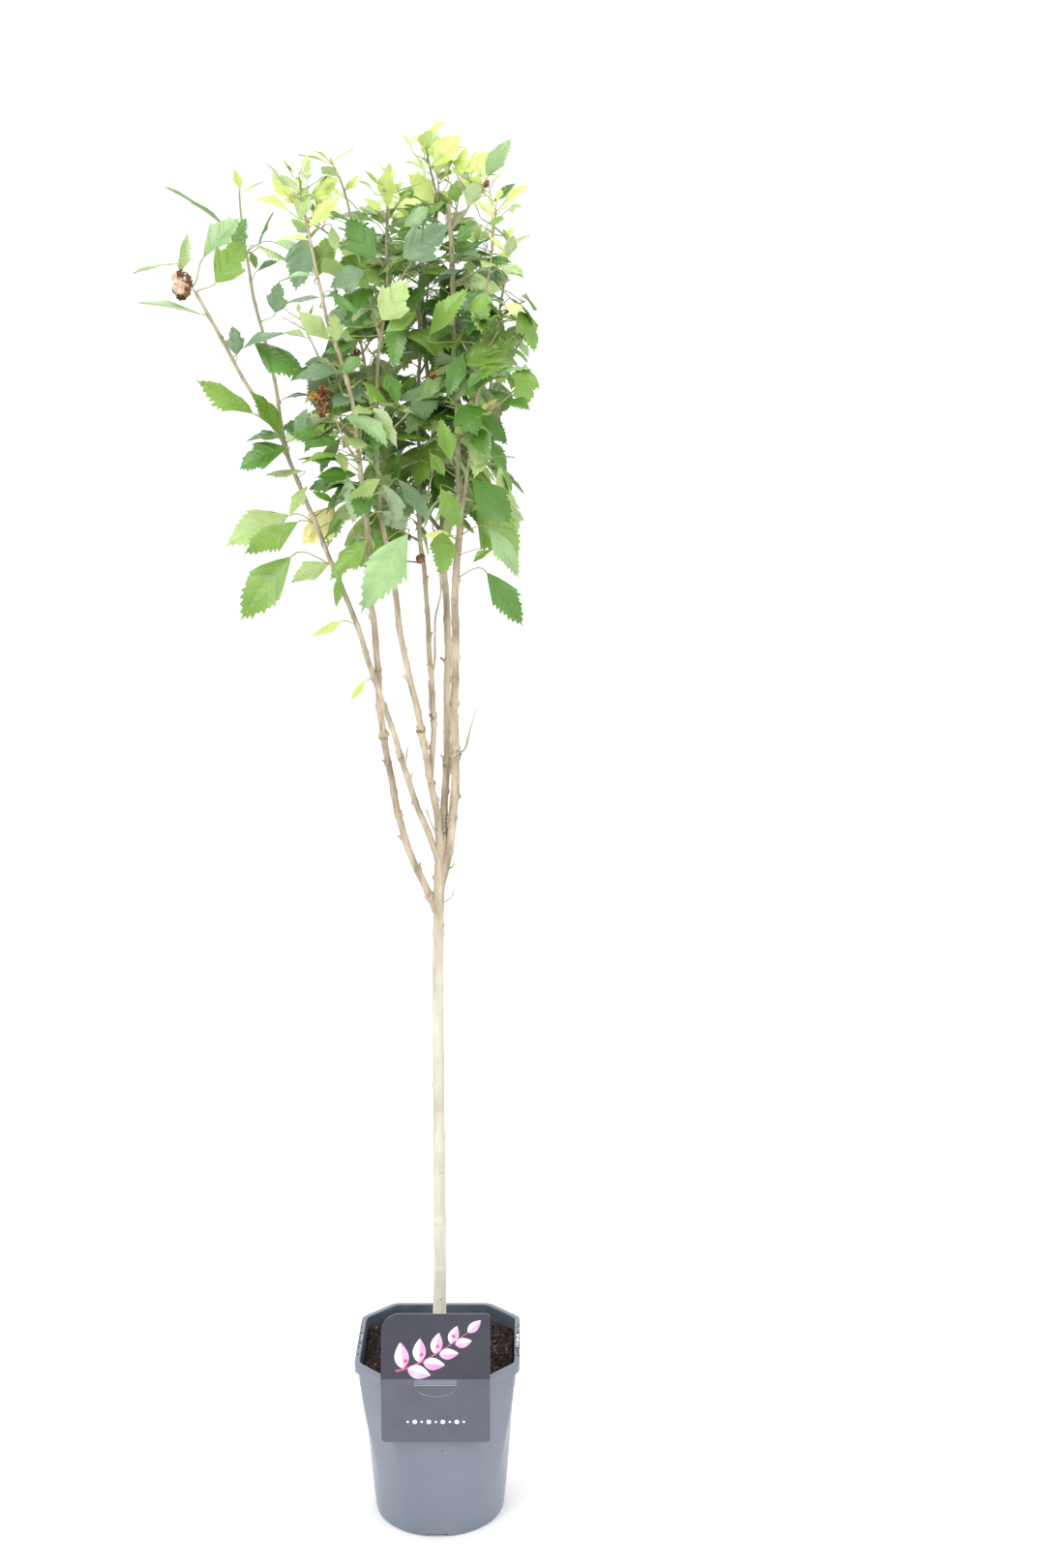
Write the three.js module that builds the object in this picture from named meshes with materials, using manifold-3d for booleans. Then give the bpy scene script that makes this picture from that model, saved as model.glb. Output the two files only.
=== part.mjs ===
// Rose of sharon: a young shrub on one short trunk, standing in its square-topped nursery pot.
// Millimetres, +Z up. The pot's flat underside lies on Z = 0 with its middle at X = Y = 0.
// The front, where the plant tag hangs, faces -Y. The crown spreads furthest towards -X.

import * as THREE from 'three';
import { mergeVertices } from 'three/addons/utils/BufferGeometryUtils.js';
import Module from 'manifold-3d';

const wasm = await Module();
wasm.setup();

// ---- Driving dimensions -------------------------------------------------------------------

const GAP = 0.3; // clearance between pieces that touch

const POT_HEIGHT = 200;
const RIM_HALF_WIDTH = 91; // half of the rim, measured across its flats
const RIM_FLAT_HALF = 56; // half of each long straight side of the rim
const RIM_LEDGE = 4; // how far the rim stands out from the wall
const RIM_SKIRT = 10; // how far the rim's outer edge hangs down
const FOOT_RADIUS = 72;
const POT_FLARE = 0.75; // below 1, the wall opens faster near the foot
const POT_WALL = 2;
const POT_FLOOR = 6;
const NOTCH_WIDTH = 26; // drainage notches under the edge of the foot
const NOTCH_HEIGHT = 4;
const NOTCH_DEPTH = 9;

const SOIL_TOP = 181;
const SOIL_BANK = 5; // how far the soil rises towards the pot's wall
const SOIL_LUMPS = 1;

const TAG_WIDTH = 118;
const TAG_THICKNESS = 0.8;
const TAG_BOTTOM = 127;
const TAG_CREASE = 201; // height of the bend just above the rim
const TAG_UPPER = 70; // length of the card above the bend
const TAG_LEAN = 15; // degrees that the upper part leans back
const TAG_BIG_CORNER = 20;
const TAG_SMALL_CORNER = 4;

const TRUNK_BASE_RADIUS = 8;
const TRUNK_TOP_RADIUS = 5.6;
const ROOT_FLARE = 4.5; // extra radius where the trunk meets the soil
const FLARE_HEIGHT = 24;
const FORK_HEIGHT = 768;

const TRUNK_STEPS = 16;
const TRUNK_CROWDING = 1.9;
const LIMB_SIDES = 7;
const LIMB_STEPS = 9;
const MASS_SIDES = 11;
const MASS_RINGS = 8;
const MASS_UNEVENNESS = 0.26; // how deep the hollows between the leaves are, as a share of the radius

// ---- Limbs --------------------------------------------------------------------------------
// Each limb is one smooth bend: it leaves from the first point, is drawn towards the two middle
// ones, and ends at the last. thick is its diameter at the lower and the upper end.

const TRUNK_ROUTE = [[0, 0, SOIL_TOP + GAP], [5, 0, 380], [-1, 0, 600], [6, 1, FORK_HEIGHT]];

const LIMBS = [
  {
    name: 'left_middle_bough',
    route: [[1, 0, 700], [-59, 2, 812], [-54, -8, 940], [-61, -36, 1046]],
    thick: [7.6, 6],
  },
  {
    name: 'left_bough',
    route: [[4, 0, 755], [-46, -22, 890], [-52, -40, 970], [-133, -26, 1152]],
    thick: [6.4, 4.4],
  },
  {
    name: 'right_bough',
    route: [[9, 3, 740], [32, 7, 800], [16, 2, 960], [29, -5, 1120]],
    thick: [9.4, 7],
  },
  {
    name: 'back_bough',
    route: [[8, 4, 765], [14, 18, 860], [19, 34, 980], [7, 52, 1145]],
    thick: [8, 6.4],
  },
  {
    name: 'middle_bough',
    route: [[6, -1, 768], [0, -10, 870], [-29, -18, 950], [-40, -26, 1066]],
    thick: [7.4, 5.4],
  },
  {
    name: 'centre_bough',
    route: [[-3, -8, 848], [4, 0, 905], [-4, 10, 990], [-13, 24, 1110]],
    thick: [5.6, 4.6],
  },
  {
    name: 'far_left_bough',
    route: [[-146, -30, 1194], [-172, -38, 1232], [-196, -48, 1284], [-224, -57, 1335]],
    thick: [4, 3.2],
  },
  {
    name: 'inner_left_bough',
    route: [[-148, -24, 1200], [-153, -18, 1240], [-164, -8, 1290], [-179, 0, 1348]],
    thick: [3.8, 3],
  },
  {
    name: 'front_right_bough',
    route: [[29, -6, 1100], [31, -10, 1130], [36, -18, 1160], [43, -27, 1190]],
    thick: [4, 3.4],
  },
  {
    name: 'back_left_bough',
    route: [[9, 47, 1098], [-8, 58, 1124], [-30, 66, 1140], [-52, 76, 1166]],
    thick: [4.4, 3.8],
  },
  {
    name: 'back_right_bough',
    route: [[10, 48, 1100], [20, 54, 1126], [32, 58, 1146], [46, 64, 1172]],
    thick: [4.4, 3.8],
  },
];

// ---- Masses of leaves ---------------------------------------------------------------------
// Each mass runs from its lower end to its upper end. wide is its half width in the plane of
// the crown's front view, and deep its half width across that plane.

const MASSES = [
  { name: 'middle_low_leaves', from: [-100, -52, 1046], to: [-26, -38, 1090], wide: 31, deep: 17 },
  { name: 'left_low_leaves', from: [-221, -22, 1052], to: [-103, -22, 1080], wide: 36, deep: 15 },
  { name: 'right_low_leaves', from: [94, -12, 1010], to: [38, -10, 1112], wide: 20, deep: 15 },
  { name: 'left_fork_leaves', from: [-190, -32, 1186], to: [-96, -30, 1166], wide: 32, deep: 27 },
  { name: 'far_left_leaves', from: [-240, -46, 1264], to: [-164, -42, 1212], wide: 15, deep: 18 },
  { name: 'far_left_head', from: [-216, -56, 1324], to: [-304, -64, 1370], wide: 36, deep: 28 },
  { name: 'inner_left_leaves', from: [-178, -14, 1306], to: [-112, -26, 1250], wide: 17, deep: 22 },
  { name: 'inner_left_head', from: [-176, -2, 1340], to: [-192, 18, 1460], wide: 40, deep: 34 },
  { name: 'left_leaves', from: [-64, -52, 1104], to: [-88, -72, 1312], wide: 38, deep: 38 },
  { name: 'left_top_leaves', from: [-90, -70, 1272], to: [-112, -80, 1474], wide: 42, deep: 36 },
  { name: 'middle_leaves', from: [-46, -30, 1096], to: [-54, -24, 1322], wide: 30, deep: 40 },
  { name: 'middle_top_leaves', from: [-50, -22, 1280], to: [-41, -8, 1464], wide: 40, deep: 42 },
  { name: 'centre_leaves', from: [-14, 24, 1100], to: [-10, 42, 1352], wide: 30, deep: 38 },
  { name: 'centre_top_leaves', from: [-10, 44, 1300], to: [4, 56, 1508], wide: 34, deep: 36 },
  { name: 'right_leaves', from: [28, -6, 1112], to: [28, -4, 1300], wide: 33, deep: 42 },
  { name: 'right_top_leaves', from: [26, -2, 1256], to: [22, 12, 1484], wide: 40, deep: 40 },
  { name: 'front_right_leaves', from: [42, -26, 1176], to: [74, -52, 1440], wide: 34, deep: 34 },
  { name: 'back_leaves', from: [6, 54, 1138], to: [-14, 86, 1350], wide: 34, deep: 34 },
  { name: 'back_top_leaves', from: [-16, 84, 1342], to: [-24, 98, 1462], wide: 40, deep: 40 },
  { name: 'back_left_leaves', from: [-44, 72, 1150], to: [-92, 96, 1400], wide: 40, deep: 42 },
  { name: 'back_right_leaves', from: [40, 60, 1156], to: [82, 84, 1410], wide: 40, deep: 40 },
];

// ---- Materials ----------------------------------------------------------------------------

const FINISHES = {
  pot: { color: 0x727b8c, roughness: 0.45, metalness: 0 },
  soil: { color: 0x3b2a22, roughness: 0.95, metalness: 0 },
  tag: { color: 0x4e4e5c, roughness: 0.4, metalness: 0 },
  bark: { color: 0xc4b597, roughness: 0.8, metalness: 0 },
  foliage: { color: 0x568a3c, roughness: 0.6, metalness: 0 },
};

const material = (finish) => new THREE.MeshStandardMaterial(FINISHES[finish]);

// ---- Closed meshes and cutting ------------------------------------------------------------

const point = (xyz) => new THREE.Vector3(...xyz);

// A skin over rings of points, closed by a fan at each end. The rings run anticlockwise as seen
// from beyond the last one.
function loft(rings, firstCentre, lastCentre) {
  const sides = rings[0].length;
  const positions = rings.flat().concat([firstCentre, lastCentre]);
  const first = positions.length - 2;
  const last = positions.length - 1;
  const faces = [];
  for (let side = 0; side < sides; side++) {
    const next = (side + 1) % sides;
    const top = (rings.length - 1) * sides;
    faces.push(first, next, side);
    faces.push(last, top + side, top + next);
    for (let ring = 0; ring < rings.length - 1; ring++) {
      const low = ring * sides;
      const high = low + sides;
      faces.push(low + side, low + next, high + next);
      faces.push(low + side, high + next, high + side);
    }
  }
  const geometry = new THREE.BufferGeometry().setFromPoints(positions);
  geometry.setIndex(faces);
  return geometry;
}

function solid(geometry) {
  const bare = geometry.clone();
  bare.deleteAttribute('normal');
  bare.deleteAttribute('uv');
  const merged = mergeVertices(bare, 1e-4);
  const triVerts = new Uint32Array(merged.index.array);
  const vertProperties = new Float32Array(merged.attributes.position.array);
  return new wasm.Manifold(new wasm.Mesh({ numProp: 3, vertProperties, triVerts }));
}

// The largest body of a cut solid, as a geometry. Crumbs that a cut leaves behind are dropped.
function geometryOf(manifold) {
  const bodies = manifold.decompose().sort((a, b) => b.volume() - a.volume());
  const { vertProperties, triVerts } = bodies[0].getMesh();
  const geometry = new THREE.BufferGeometry();
  geometry.setAttribute('position', new THREE.BufferAttribute(new Float32Array(vertProperties), 3));
  geometry.setIndex(Array.from(triVerts));
  return geometry;
}

function named(name, geometry, finish) {
  geometry.computeVertexNormals();
  const mesh = new THREE.Mesh(geometry, material(finish));
  mesh.name = name;
  return mesh;
}

// ---- Pot ----------------------------------------------------------------------------------

const SIDE_STEPS = 5; // edges along each long side of the rim
const CORNER_STEPS = 3; // edges across each cut corner

// One level of the pot. square is 0 for a circle and 1 for a square with cut corners.
function potLevel(height, half, square) {
  const flat = RIM_FLAT_HALF / RIM_HALF_WIDTH;
  const level = [];
  for (let quarter = 0; quarter < 4; quarter++) {
    const corners = [[flat, -1], [1, -flat], [1, flat]];
    const turn = (quarter * Math.PI) / 2;
    for (let edge = 0; edge < 2; edge++) {
      const steps = edge === 0 ? CORNER_STEPS : SIDE_STEPS;
      for (let step = 0; step < steps; step++) {
        const share = step / steps;
        const x = THREE.MathUtils.lerp(corners[edge][0], corners[edge + 1][0], share);
        const y = THREE.MathUtils.lerp(corners[edge][1], corners[edge + 1][1], share);
        const round = 1 / Math.hypot(x, y);
        const scale = half * THREE.MathUtils.lerp(round, 1, square);
        const spot = new THREE.Vector3(x * scale, y * scale, height);
        level.push(spot.applyAxisAngle(new THREE.Vector3(0, 0, 1), turn));
      }
    }
  }
  return level;
}

// The wall's outer half width and squareness at a height.
function potOutline(height) {
  const wallTop = RIM_HALF_WIDTH - RIM_LEDGE;
  const rise = height / POT_HEIGHT;
  const half = FOOT_RADIUS + (wallTop - FOOT_RADIUS) * rise ** POT_FLARE;
  const square = THREE.MathUtils.smoothstep(rise, 0.15, 0.88);
  return { half, square };
}

const WALL_LEVELS = [45, 85, 120, 150, 175];

function wallLevel(height, inset) {
  const { half, square } = potOutline(height);
  return potLevel(height, half - inset, square);
}

function potGeometry() {
  const underLedge = POT_HEIGHT - POT_WALL;
  const skirtBottom = POT_HEIGHT - RIM_SKIRT;
  const skirtInner = RIM_HALF_WIDTH - POT_WALL * 0.8;
  const outside = [
    potLevel(0, FOOT_RADIUS - 1.5, 0),
    wallLevel(2, 0),
    ...WALL_LEVELS.map((height) => wallLevel(height, 0)),
    wallLevel(underLedge, 0),
    potLevel(underLedge, skirtInner, 1),
    potLevel(skirtBottom, skirtInner, 1),
    potLevel(skirtBottom, RIM_HALF_WIDTH, 1),
    potLevel(POT_HEIGHT, RIM_HALF_WIDTH, 1),
  ];
  const heights = [POT_FLOOR, ...WALL_LEVELS, POT_HEIGHT + 1];
  const inside = heights.map((height) => wallLevel(height, POT_WALL));
  const block = solid(loft(outside, new THREE.Vector3(0, 0, 0), new THREE.Vector3(0, 0, POT_HEIGHT)));
  const floor = new THREE.Vector3(0, 0, POT_FLOOR);
  const cavity = solid(loft(inside, floor, new THREE.Vector3(0, 0, POT_HEIGHT + 1)));
  return geometryOf(block.subtract(cavity).subtract(drainageNotches()));
}

function drainageNotches() {
  const notches = [];
  for (let quarter = 0; quarter < 4; quarter++) {
    const arch = new THREE.Shape();
    arch.moveTo(-NOTCH_WIDTH / 2, -1);
    arch.lineTo(NOTCH_WIDTH / 2, -1);
    arch.lineTo(NOTCH_WIDTH / 2 - 2, NOTCH_HEIGHT);
    arch.lineTo(2 - NOTCH_WIDTH / 2, NOTCH_HEIGHT);
    const notch = new THREE.ExtrudeGeometry(arch, { depth: NOTCH_DEPTH * 2, bevelEnabled: false });
    notch.rotateX(Math.PI / 2);
    notch.translate(0, -(FOOT_RADIUS - NOTCH_DEPTH), 0);
    notch.rotateZ((quarter * Math.PI) / 2);
    notches.push(solid(notch));
  }
  return notches.reduce((all, notch) => all.add(notch));
}

// ---- Soil ---------------------------------------------------------------------------------

// Its sides follow the wall to the last wall level, and its top is a low, lumpy dish.
function soilGeometry() {
  const inset = POT_WALL + GAP;
  const heights = [POT_FLOOR + GAP, ...WALL_LEVELS];
  const levels = heights.map((height) => wallLevel(height, inset));
  const edge = levels[levels.length - 1];
  for (const share of [0.99, 0.8, 0.5]) {
    levels.push(edge.map((spot, index) => {
      const bank = SOIL_BANK * share ** 3 * (0.6 + 0.4 * Math.sin(index * 1.7));
      const lumps = SOIL_LUMPS * Math.sin(index * 2.3 + share * 9);
      return new THREE.Vector3(spot.x * share, spot.y * share, SOIL_TOP + bank + lumps);
    }));
  }
  levels.push(edge.map((spot) => new THREE.Vector3(spot.x * 0.2, spot.y * 0.2, SOIL_TOP)));
  const foot = new THREE.Vector3(0, 0, heights[0]);
  return loft(levels, foot, new THREE.Vector3(0, 0, SOIL_TOP));
}

// ---- Tag ----------------------------------------------------------------------------------

// The card seen from the side: upright in front of the rim, then bent back over it.
function tagStrip() {
  const lean = THREE.MathUtils.degToRad(TAG_LEAN);
  const front = -(RIM_HALF_WIDTH + GAP + TAG_THICKNESS);
  const back = front + TAG_THICKNESS;
  const topY = front + TAG_UPPER * Math.sin(lean);
  const topZ = TAG_CREASE + TAG_UPPER * Math.cos(lean);
  const acrossY = TAG_THICKNESS * Math.cos(lean);
  const acrossZ = TAG_THICKNESS * Math.sin(lean);
  const strip = new THREE.Shape();
  strip.moveTo(front, TAG_BOTTOM);
  strip.lineTo(back, TAG_BOTTOM);
  strip.lineTo(back, TAG_CREASE);
  strip.lineTo(topY + acrossY, topZ - acrossZ);
  strip.lineTo(topY, topZ);
  strip.lineTo(front, TAG_CREASE);
  const bar = new THREE.ExtrudeGeometry(strip, { depth: TAG_WIDTH + 2, bevelEnabled: false });
  bar.translate(0, 0, -(TAG_WIDTH / 2 + 1));
  // The strip is drawn in the plane of Y and Z, and runs along X.
  bar.applyMatrix4(new THREE.Matrix4().set(0, 0, 1, 0, 1, 0, 0, 0, 0, 1, 0, 0, 0, 0, 0, 1));
  return bar;
}

// The card seen from the front, with one large and three small round corners.
function tagOutline() {
  const half = TAG_WIDTH / 2;
  const low = TAG_BOTTOM;
  const high = TAG_CREASE + TAG_UPPER * Math.cos(THREE.MathUtils.degToRad(TAG_LEAN));
  const small = TAG_SMALL_CORNER;
  const big = TAG_BIG_CORNER;
  const outline = new THREE.Shape();
  outline.absarc(half - small, low + small, small, -Math.PI / 2, 0);
  outline.absarc(half - small, high - small, small, 0, Math.PI / 2);
  outline.absarc(big - half, high - big, big, Math.PI / 2, Math.PI);
  outline.absarc(small - half, low + small, small, Math.PI, Math.PI * 1.5);
  const slab = new THREE.ExtrudeGeometry(outline, { depth: 100, bevelEnabled: false, curveSegments: 5 });
  slab.rotateX(Math.PI / 2);
  slab.translate(0, -20, 0);
  return slab;
}

const tagGeometry = () => geometryOf(solid(tagStrip()).intersect(solid(tagOutline())));

// ---- Trunk and boughs ---------------------------------------------------------------------

// A tube round a route, whose radius is given by a function of the share of the way along it.
// crowded is above 1 where the rings stand closer together near the lower end.
function tube(route, radiusAt, steps, crowded = 1) {
  const curve = new THREE.CubicBezierCurve3(...route.map(point));
  const rings = [];
  for (let step = 0; step <= steps; step++) {
    const share = (step / steps) ** crowded;
    const centre = curve.getPoint(share);
    const along = step === 0 ? new THREE.Vector3(0, 0, 1) : curve.getTangent(share);
    const across = new THREE.Vector3(0, 1, 0).cross(along).normalize();
    const over = along.clone().cross(across);
    const ring = [];
    for (let side = 0; side < LIMB_SIDES; side++) {
      const turn = (side / LIMB_SIDES) * Math.PI * 2;
      const radius = radiusAt(share);
      const spot = centre.clone();
      spot.addScaledVector(across, radius * Math.cos(turn));
      spot.addScaledVector(over, radius * Math.sin(turn));
      ring.push(spot);
    }
    rings.push(ring);
  }
  return loft(rings, curve.getPoint(0), curve.getPoint(1));
}

function trunk(grow = 0) {
  const length = FORK_HEIGHT - SOIL_TOP;
  const radiusAt = (share) => {
    const flare = ROOT_FLARE * Math.exp(-(share * length) / (FLARE_HEIGHT / 2));
    return THREE.MathUtils.lerp(TRUNK_BASE_RADIUS, TRUNK_TOP_RADIUS, share ** 0.6) + flare + grow;
  };
  return solid(tube(TRUNK_ROUTE, radiusAt, TRUNK_STEPS, TRUNK_CROWDING));
}

function limb({ route, thick }, grow = 0) {
  const radiusAt = (share) => THREE.MathUtils.lerp(thick[0], thick[1], share) / 2 + grow;
  return solid(tube(route, radiusAt, LIMB_STEPS));
}

// ---- Masses -------------------------------------------------------------------------------

// How far out the leaves reach, as a share of the half width. Each mass has lobes of its own.
function massOutline(share, turn, order) {
  const swell = Math.sin(Math.PI * share) ** 0.5;
  const twoLobes = Math.sin(2 * turn + order * 2.1 + share * 5);
  const threeLobes = Math.sin(3 * turn + order * 1.3 - share * 9);
  return swell * (1 - MASS_UNEVENNESS * (0.5 - 0.25 * twoLobes - 0.5 * threeLobes));
}

function leafMass({ from, to, wide, deep }, order, grow = 0) {
  const start = point(from);
  const end = point(to);
  const along = end.clone().sub(start).normalize();
  const across = new THREE.Vector3(0, 1, 0).cross(along).normalize();
  const over = along.clone().cross(across);
  const rings = [];
  for (let ring = 1; ring < MASS_RINGS; ring++) {
    const share = ring / MASS_RINGS;
    const spots = [];
    for (let side = 0; side < MASS_SIDES; side++) {
      const turn = (side / MASS_SIDES) * Math.PI * 2;
      const size = massOutline(share, turn, order);
      const spot = start.clone().lerp(end, share);
      spot.addScaledVector(across, (wide * size + grow) * Math.cos(turn));
      spot.addScaledVector(over, (deep * size + grow) * Math.sin(turn));
      spots.push(spot);
    }
    rings.push(spots);
  }
  const tip = end.addScaledVector(along, grow);
  const root = start.addScaledVector(along, -grow);
  return solid(loft(rings, root, tip));
}

// ---- Assembly -----------------------------------------------------------------------------

const shrub = new THREE.Group();
shrub.add(named('pot', potGeometry(), 'pot'));
shrub.add(named('soil', soilGeometry(), 'soil'));
shrub.add(named('tag', tagGeometry(), 'tag'));
shrub.add(named('trunk', geometryOf(trunk()), 'bark'));

// Each limb is cut clear of the wood that was placed before it, so that it starts at its skin.
let wood = trunk(GAP);
for (const each of LIMBS) {
  shrub.add(named(each.name, geometryOf(limb(each).subtract(wood)), 'bark'));
  wood = wood.add(limb(each, GAP));
}

// Each mass is cut round the wood and round the masses that were placed before it.
let filled = wood;
MASSES.forEach((each, order) => {
  shrub.add(named(each.name, geometryOf(leafMass(each, order).subtract(filled)), 'foliage'));
  filled = filled.add(leafMass(each, order, GAP));
});

export default shrub;
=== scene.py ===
"""A young rose of sharon in its nursery pot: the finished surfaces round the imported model.

Lengths are in millimetres, +Z up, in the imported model's own frame, and mesh_of() turns them into
the metres that Blender works in. Everything random is drawn from seeded generators.
"""

import math

import bmesh
import bpy
import numpy as np
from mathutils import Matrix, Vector, noise
from mathutils.bvhtree import BVHTree


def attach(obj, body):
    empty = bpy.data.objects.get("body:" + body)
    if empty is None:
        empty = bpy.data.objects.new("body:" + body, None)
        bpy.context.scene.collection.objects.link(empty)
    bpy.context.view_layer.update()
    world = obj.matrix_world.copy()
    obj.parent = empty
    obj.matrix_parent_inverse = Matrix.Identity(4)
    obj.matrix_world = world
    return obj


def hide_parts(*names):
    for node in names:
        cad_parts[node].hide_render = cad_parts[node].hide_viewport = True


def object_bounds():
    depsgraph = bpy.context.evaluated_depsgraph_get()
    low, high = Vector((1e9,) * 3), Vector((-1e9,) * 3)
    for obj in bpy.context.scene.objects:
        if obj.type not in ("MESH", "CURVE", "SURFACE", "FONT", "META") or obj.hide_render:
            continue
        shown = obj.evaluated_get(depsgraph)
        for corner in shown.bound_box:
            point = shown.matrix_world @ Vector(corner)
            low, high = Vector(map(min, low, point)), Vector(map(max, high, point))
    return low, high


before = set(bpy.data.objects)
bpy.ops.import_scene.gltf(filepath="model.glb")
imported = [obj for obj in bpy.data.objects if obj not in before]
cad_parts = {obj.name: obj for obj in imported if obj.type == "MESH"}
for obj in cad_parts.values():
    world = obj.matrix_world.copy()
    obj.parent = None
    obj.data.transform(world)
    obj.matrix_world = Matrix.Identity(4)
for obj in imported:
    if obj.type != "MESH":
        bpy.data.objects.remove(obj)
cad_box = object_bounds()

MM = 0.001
UP = np.array((0.0, 0.0, 1.0))
FRONT = np.array((0.0, -1.0, 0.0))
MASS_NODES = sorted(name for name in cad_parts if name.endswith(("_leaves", "_head")))
SEEDS = {
    "crumbs": 5, "chips": 11, "trunk": 21, "knots": 61, "dried": 77, "boughs": 100, "shoots": 300,
    "tufts": 400, "stems": 500, "gaps": 800, "clear": 900,
}

# ---- Studio -----------------------------------------------------------------------------------

CAMERA_PLACE = (0.094, -2.036, 1.2515)  # in metres
CAMERA_PITCH = 11.488  # degrees below level
LENS = 45
SENSOR = 36
WORLD_STRENGTH = 1.12
FLOOR_HALF = 9000

# ---- Pot, soil and tag: the same driving sizes as the solid model -----------------------------

POT_HEIGHT = 200
RIM_HALF_WIDTH = 91
RIM_FLAT_HALF = 56
RIM_LEDGE = 4
RIM_SKIRT = 10
FOOT_RADIUS = 72
POT_FLARE = 0.75  # below 1, the wall opens faster near the foot
SQUARING = (0.15, 0.88)  # the shares of the height between which the round wall turns square
POT_WALL = 2
POT_FLOOR = 6
POT_SIDES = 240
CORNER_SHARPNESS = 60
POT_SHARP_ANGLE = math.radians(32)  # between faces that aren't smoothed over
COLLAR_HEIGHT = 172  # the wall stands out a little above this height
COLLAR_STEP = 0.6
SLOT_LENGTH = 35  # slots through the ledge, in the middle of two sides
SLOT_WIDTH = 2
SLOT_INSET = 2.6  # from the rim's edge to the middle of a slot
SLOT_CUT = (193, 205)  # from below the ledge to above it
NOTCH_WIDTH = 26
NOTCH_TAPER = 4  # how much narrower a notch is at its top
NOTCH_HEIGHT = 4
NOTCH_DEPTH = 9
NOTCH_SPARE = 9  # how far the cut runs on outside the foot

SOIL_TOP = 181
SOIL_BANK = 5
SOIL_REACH = 84
SOIL_GAP = 0.3  # to the pot
SOIL_LUMPS = ((2.2, 14, 0), (1.1, 5, 3))  # height, size and layer of the noise
CHIP_COUNT = 5600
CHIP_REACH = 82
CHIP_CORNER = 1.56  # at the cut corners, |x| + |y| stays within this many times that reach
CHIP_CLEAR = 13  # round the trunk's middle
SMALL_CHIPS = 0.78  # the share of chips between the first two of these lengths
CHIP_LENGTHS = (1.4, 3.6, 8)
CHIP_SHARES = (0.48, 0.26, 0.05, 0.21)  # of the four colours
LEDGE_CRUMBS = 44
LEDGE_SPAN = (86.5, 90.0)  # where they lie, from the pot's middle
WALL_CRUMBS = ((-86, 110), (-22, 18), (-38, 2), (160, 60), (30, 80), (140, 40))  # angle and height

TAG_WIDTH = 118
TAG_THICKNESS = 0.8
TAG_BOTTOM = 127
TAG_CREASE = 201
TAG_UPPER = 70
TAG_LEAN = 15
TAG_BIG_CORNER = 20
TAG_SMALL_CORNER = 4
TAG_GAP = 0.3
FLAP_HALF_WIDTH = 23
FLAP_TOP = 194
FLAP_DEPTH = 13
FLAP_SLIT = 0.35  # how much larger the hole is than the flap's outline
FLAP_TRIM = 0.25  # and how much smaller the flap is
BEND_RADIUS = 2.0
BEND_SPAN = BEND_RADIUS * math.radians(TAG_LEAN)
CREASE_V = TAG_CREASE - TAG_BOTTOM
CARD_TOP_V = CREASE_V + TAG_UPPER
BEND_LEVELS = [CREASE_V + BEND_SPAN * share for share in (-0.5, -0.17, 0.17, 0.5)]
TAG_FRONT = -(RIM_HALF_WIDTH + TAG_GAP + TAG_THICKNESS)
PRINT_LIFT = 0.06
STALK_FOOT = (-43, CREASE_V + 9)
STALK_LENGTH = 78
STALK_RISE = 41

# ---- Stems ------------------------------------------------------------------------------------
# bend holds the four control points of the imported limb. onward carries the stem through the
# leaves to its tip. thick is its diameter at its foot, where it enters the leaves and at its tip.
# leafy is the height above which it bears leaves by rule, blunt marks a pruned end, and green is
# the length of new growth at the tip, GREEN_TIP unless it is given. knots have a height and a size.

RING_STEP = 2.0  # between a bough's rings
TRUNK_RING_STEP = 1.8
TWIG_STEP = 3
TRUNK_SIDES = 28
BOUGH_SIDES = 14
TWIG_SIDES = 7
GREEN_TIP = 38
FORK_SWELLING = 0.22  # how much thicker a bough is at its foot, and how far that reaches
FORK_REACH = 9
TIP_TAPER = 6  # the length over which a tip narrows
WAVE_FROM = 40  # a bough's small waves are full this far from its foot
GREEN_SHADED_BARK_FROM = 1190  # a bough's bark is greener above this height, and its light tone darker as painted shade of the leaves
BARE_TOP = 1200  # where small scabs stop on a stem that bears no leaves by rule
SNAG_TOP = 1120  # and where snags stop on it

TRUNK_BEND = [(0, 0, 181.3), (5, 0, 380), (-1, 0, 600), (6, 1, 768)]
TRUNK_RADII = (8, 5.6)
ROOT_FLARE = 4.5
FLARE_HEIGHT = 12
TRUNK_SCARS = [(251, 0.5), (402, 0.7), (547, 0.4), (683, 0.6)]

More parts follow.
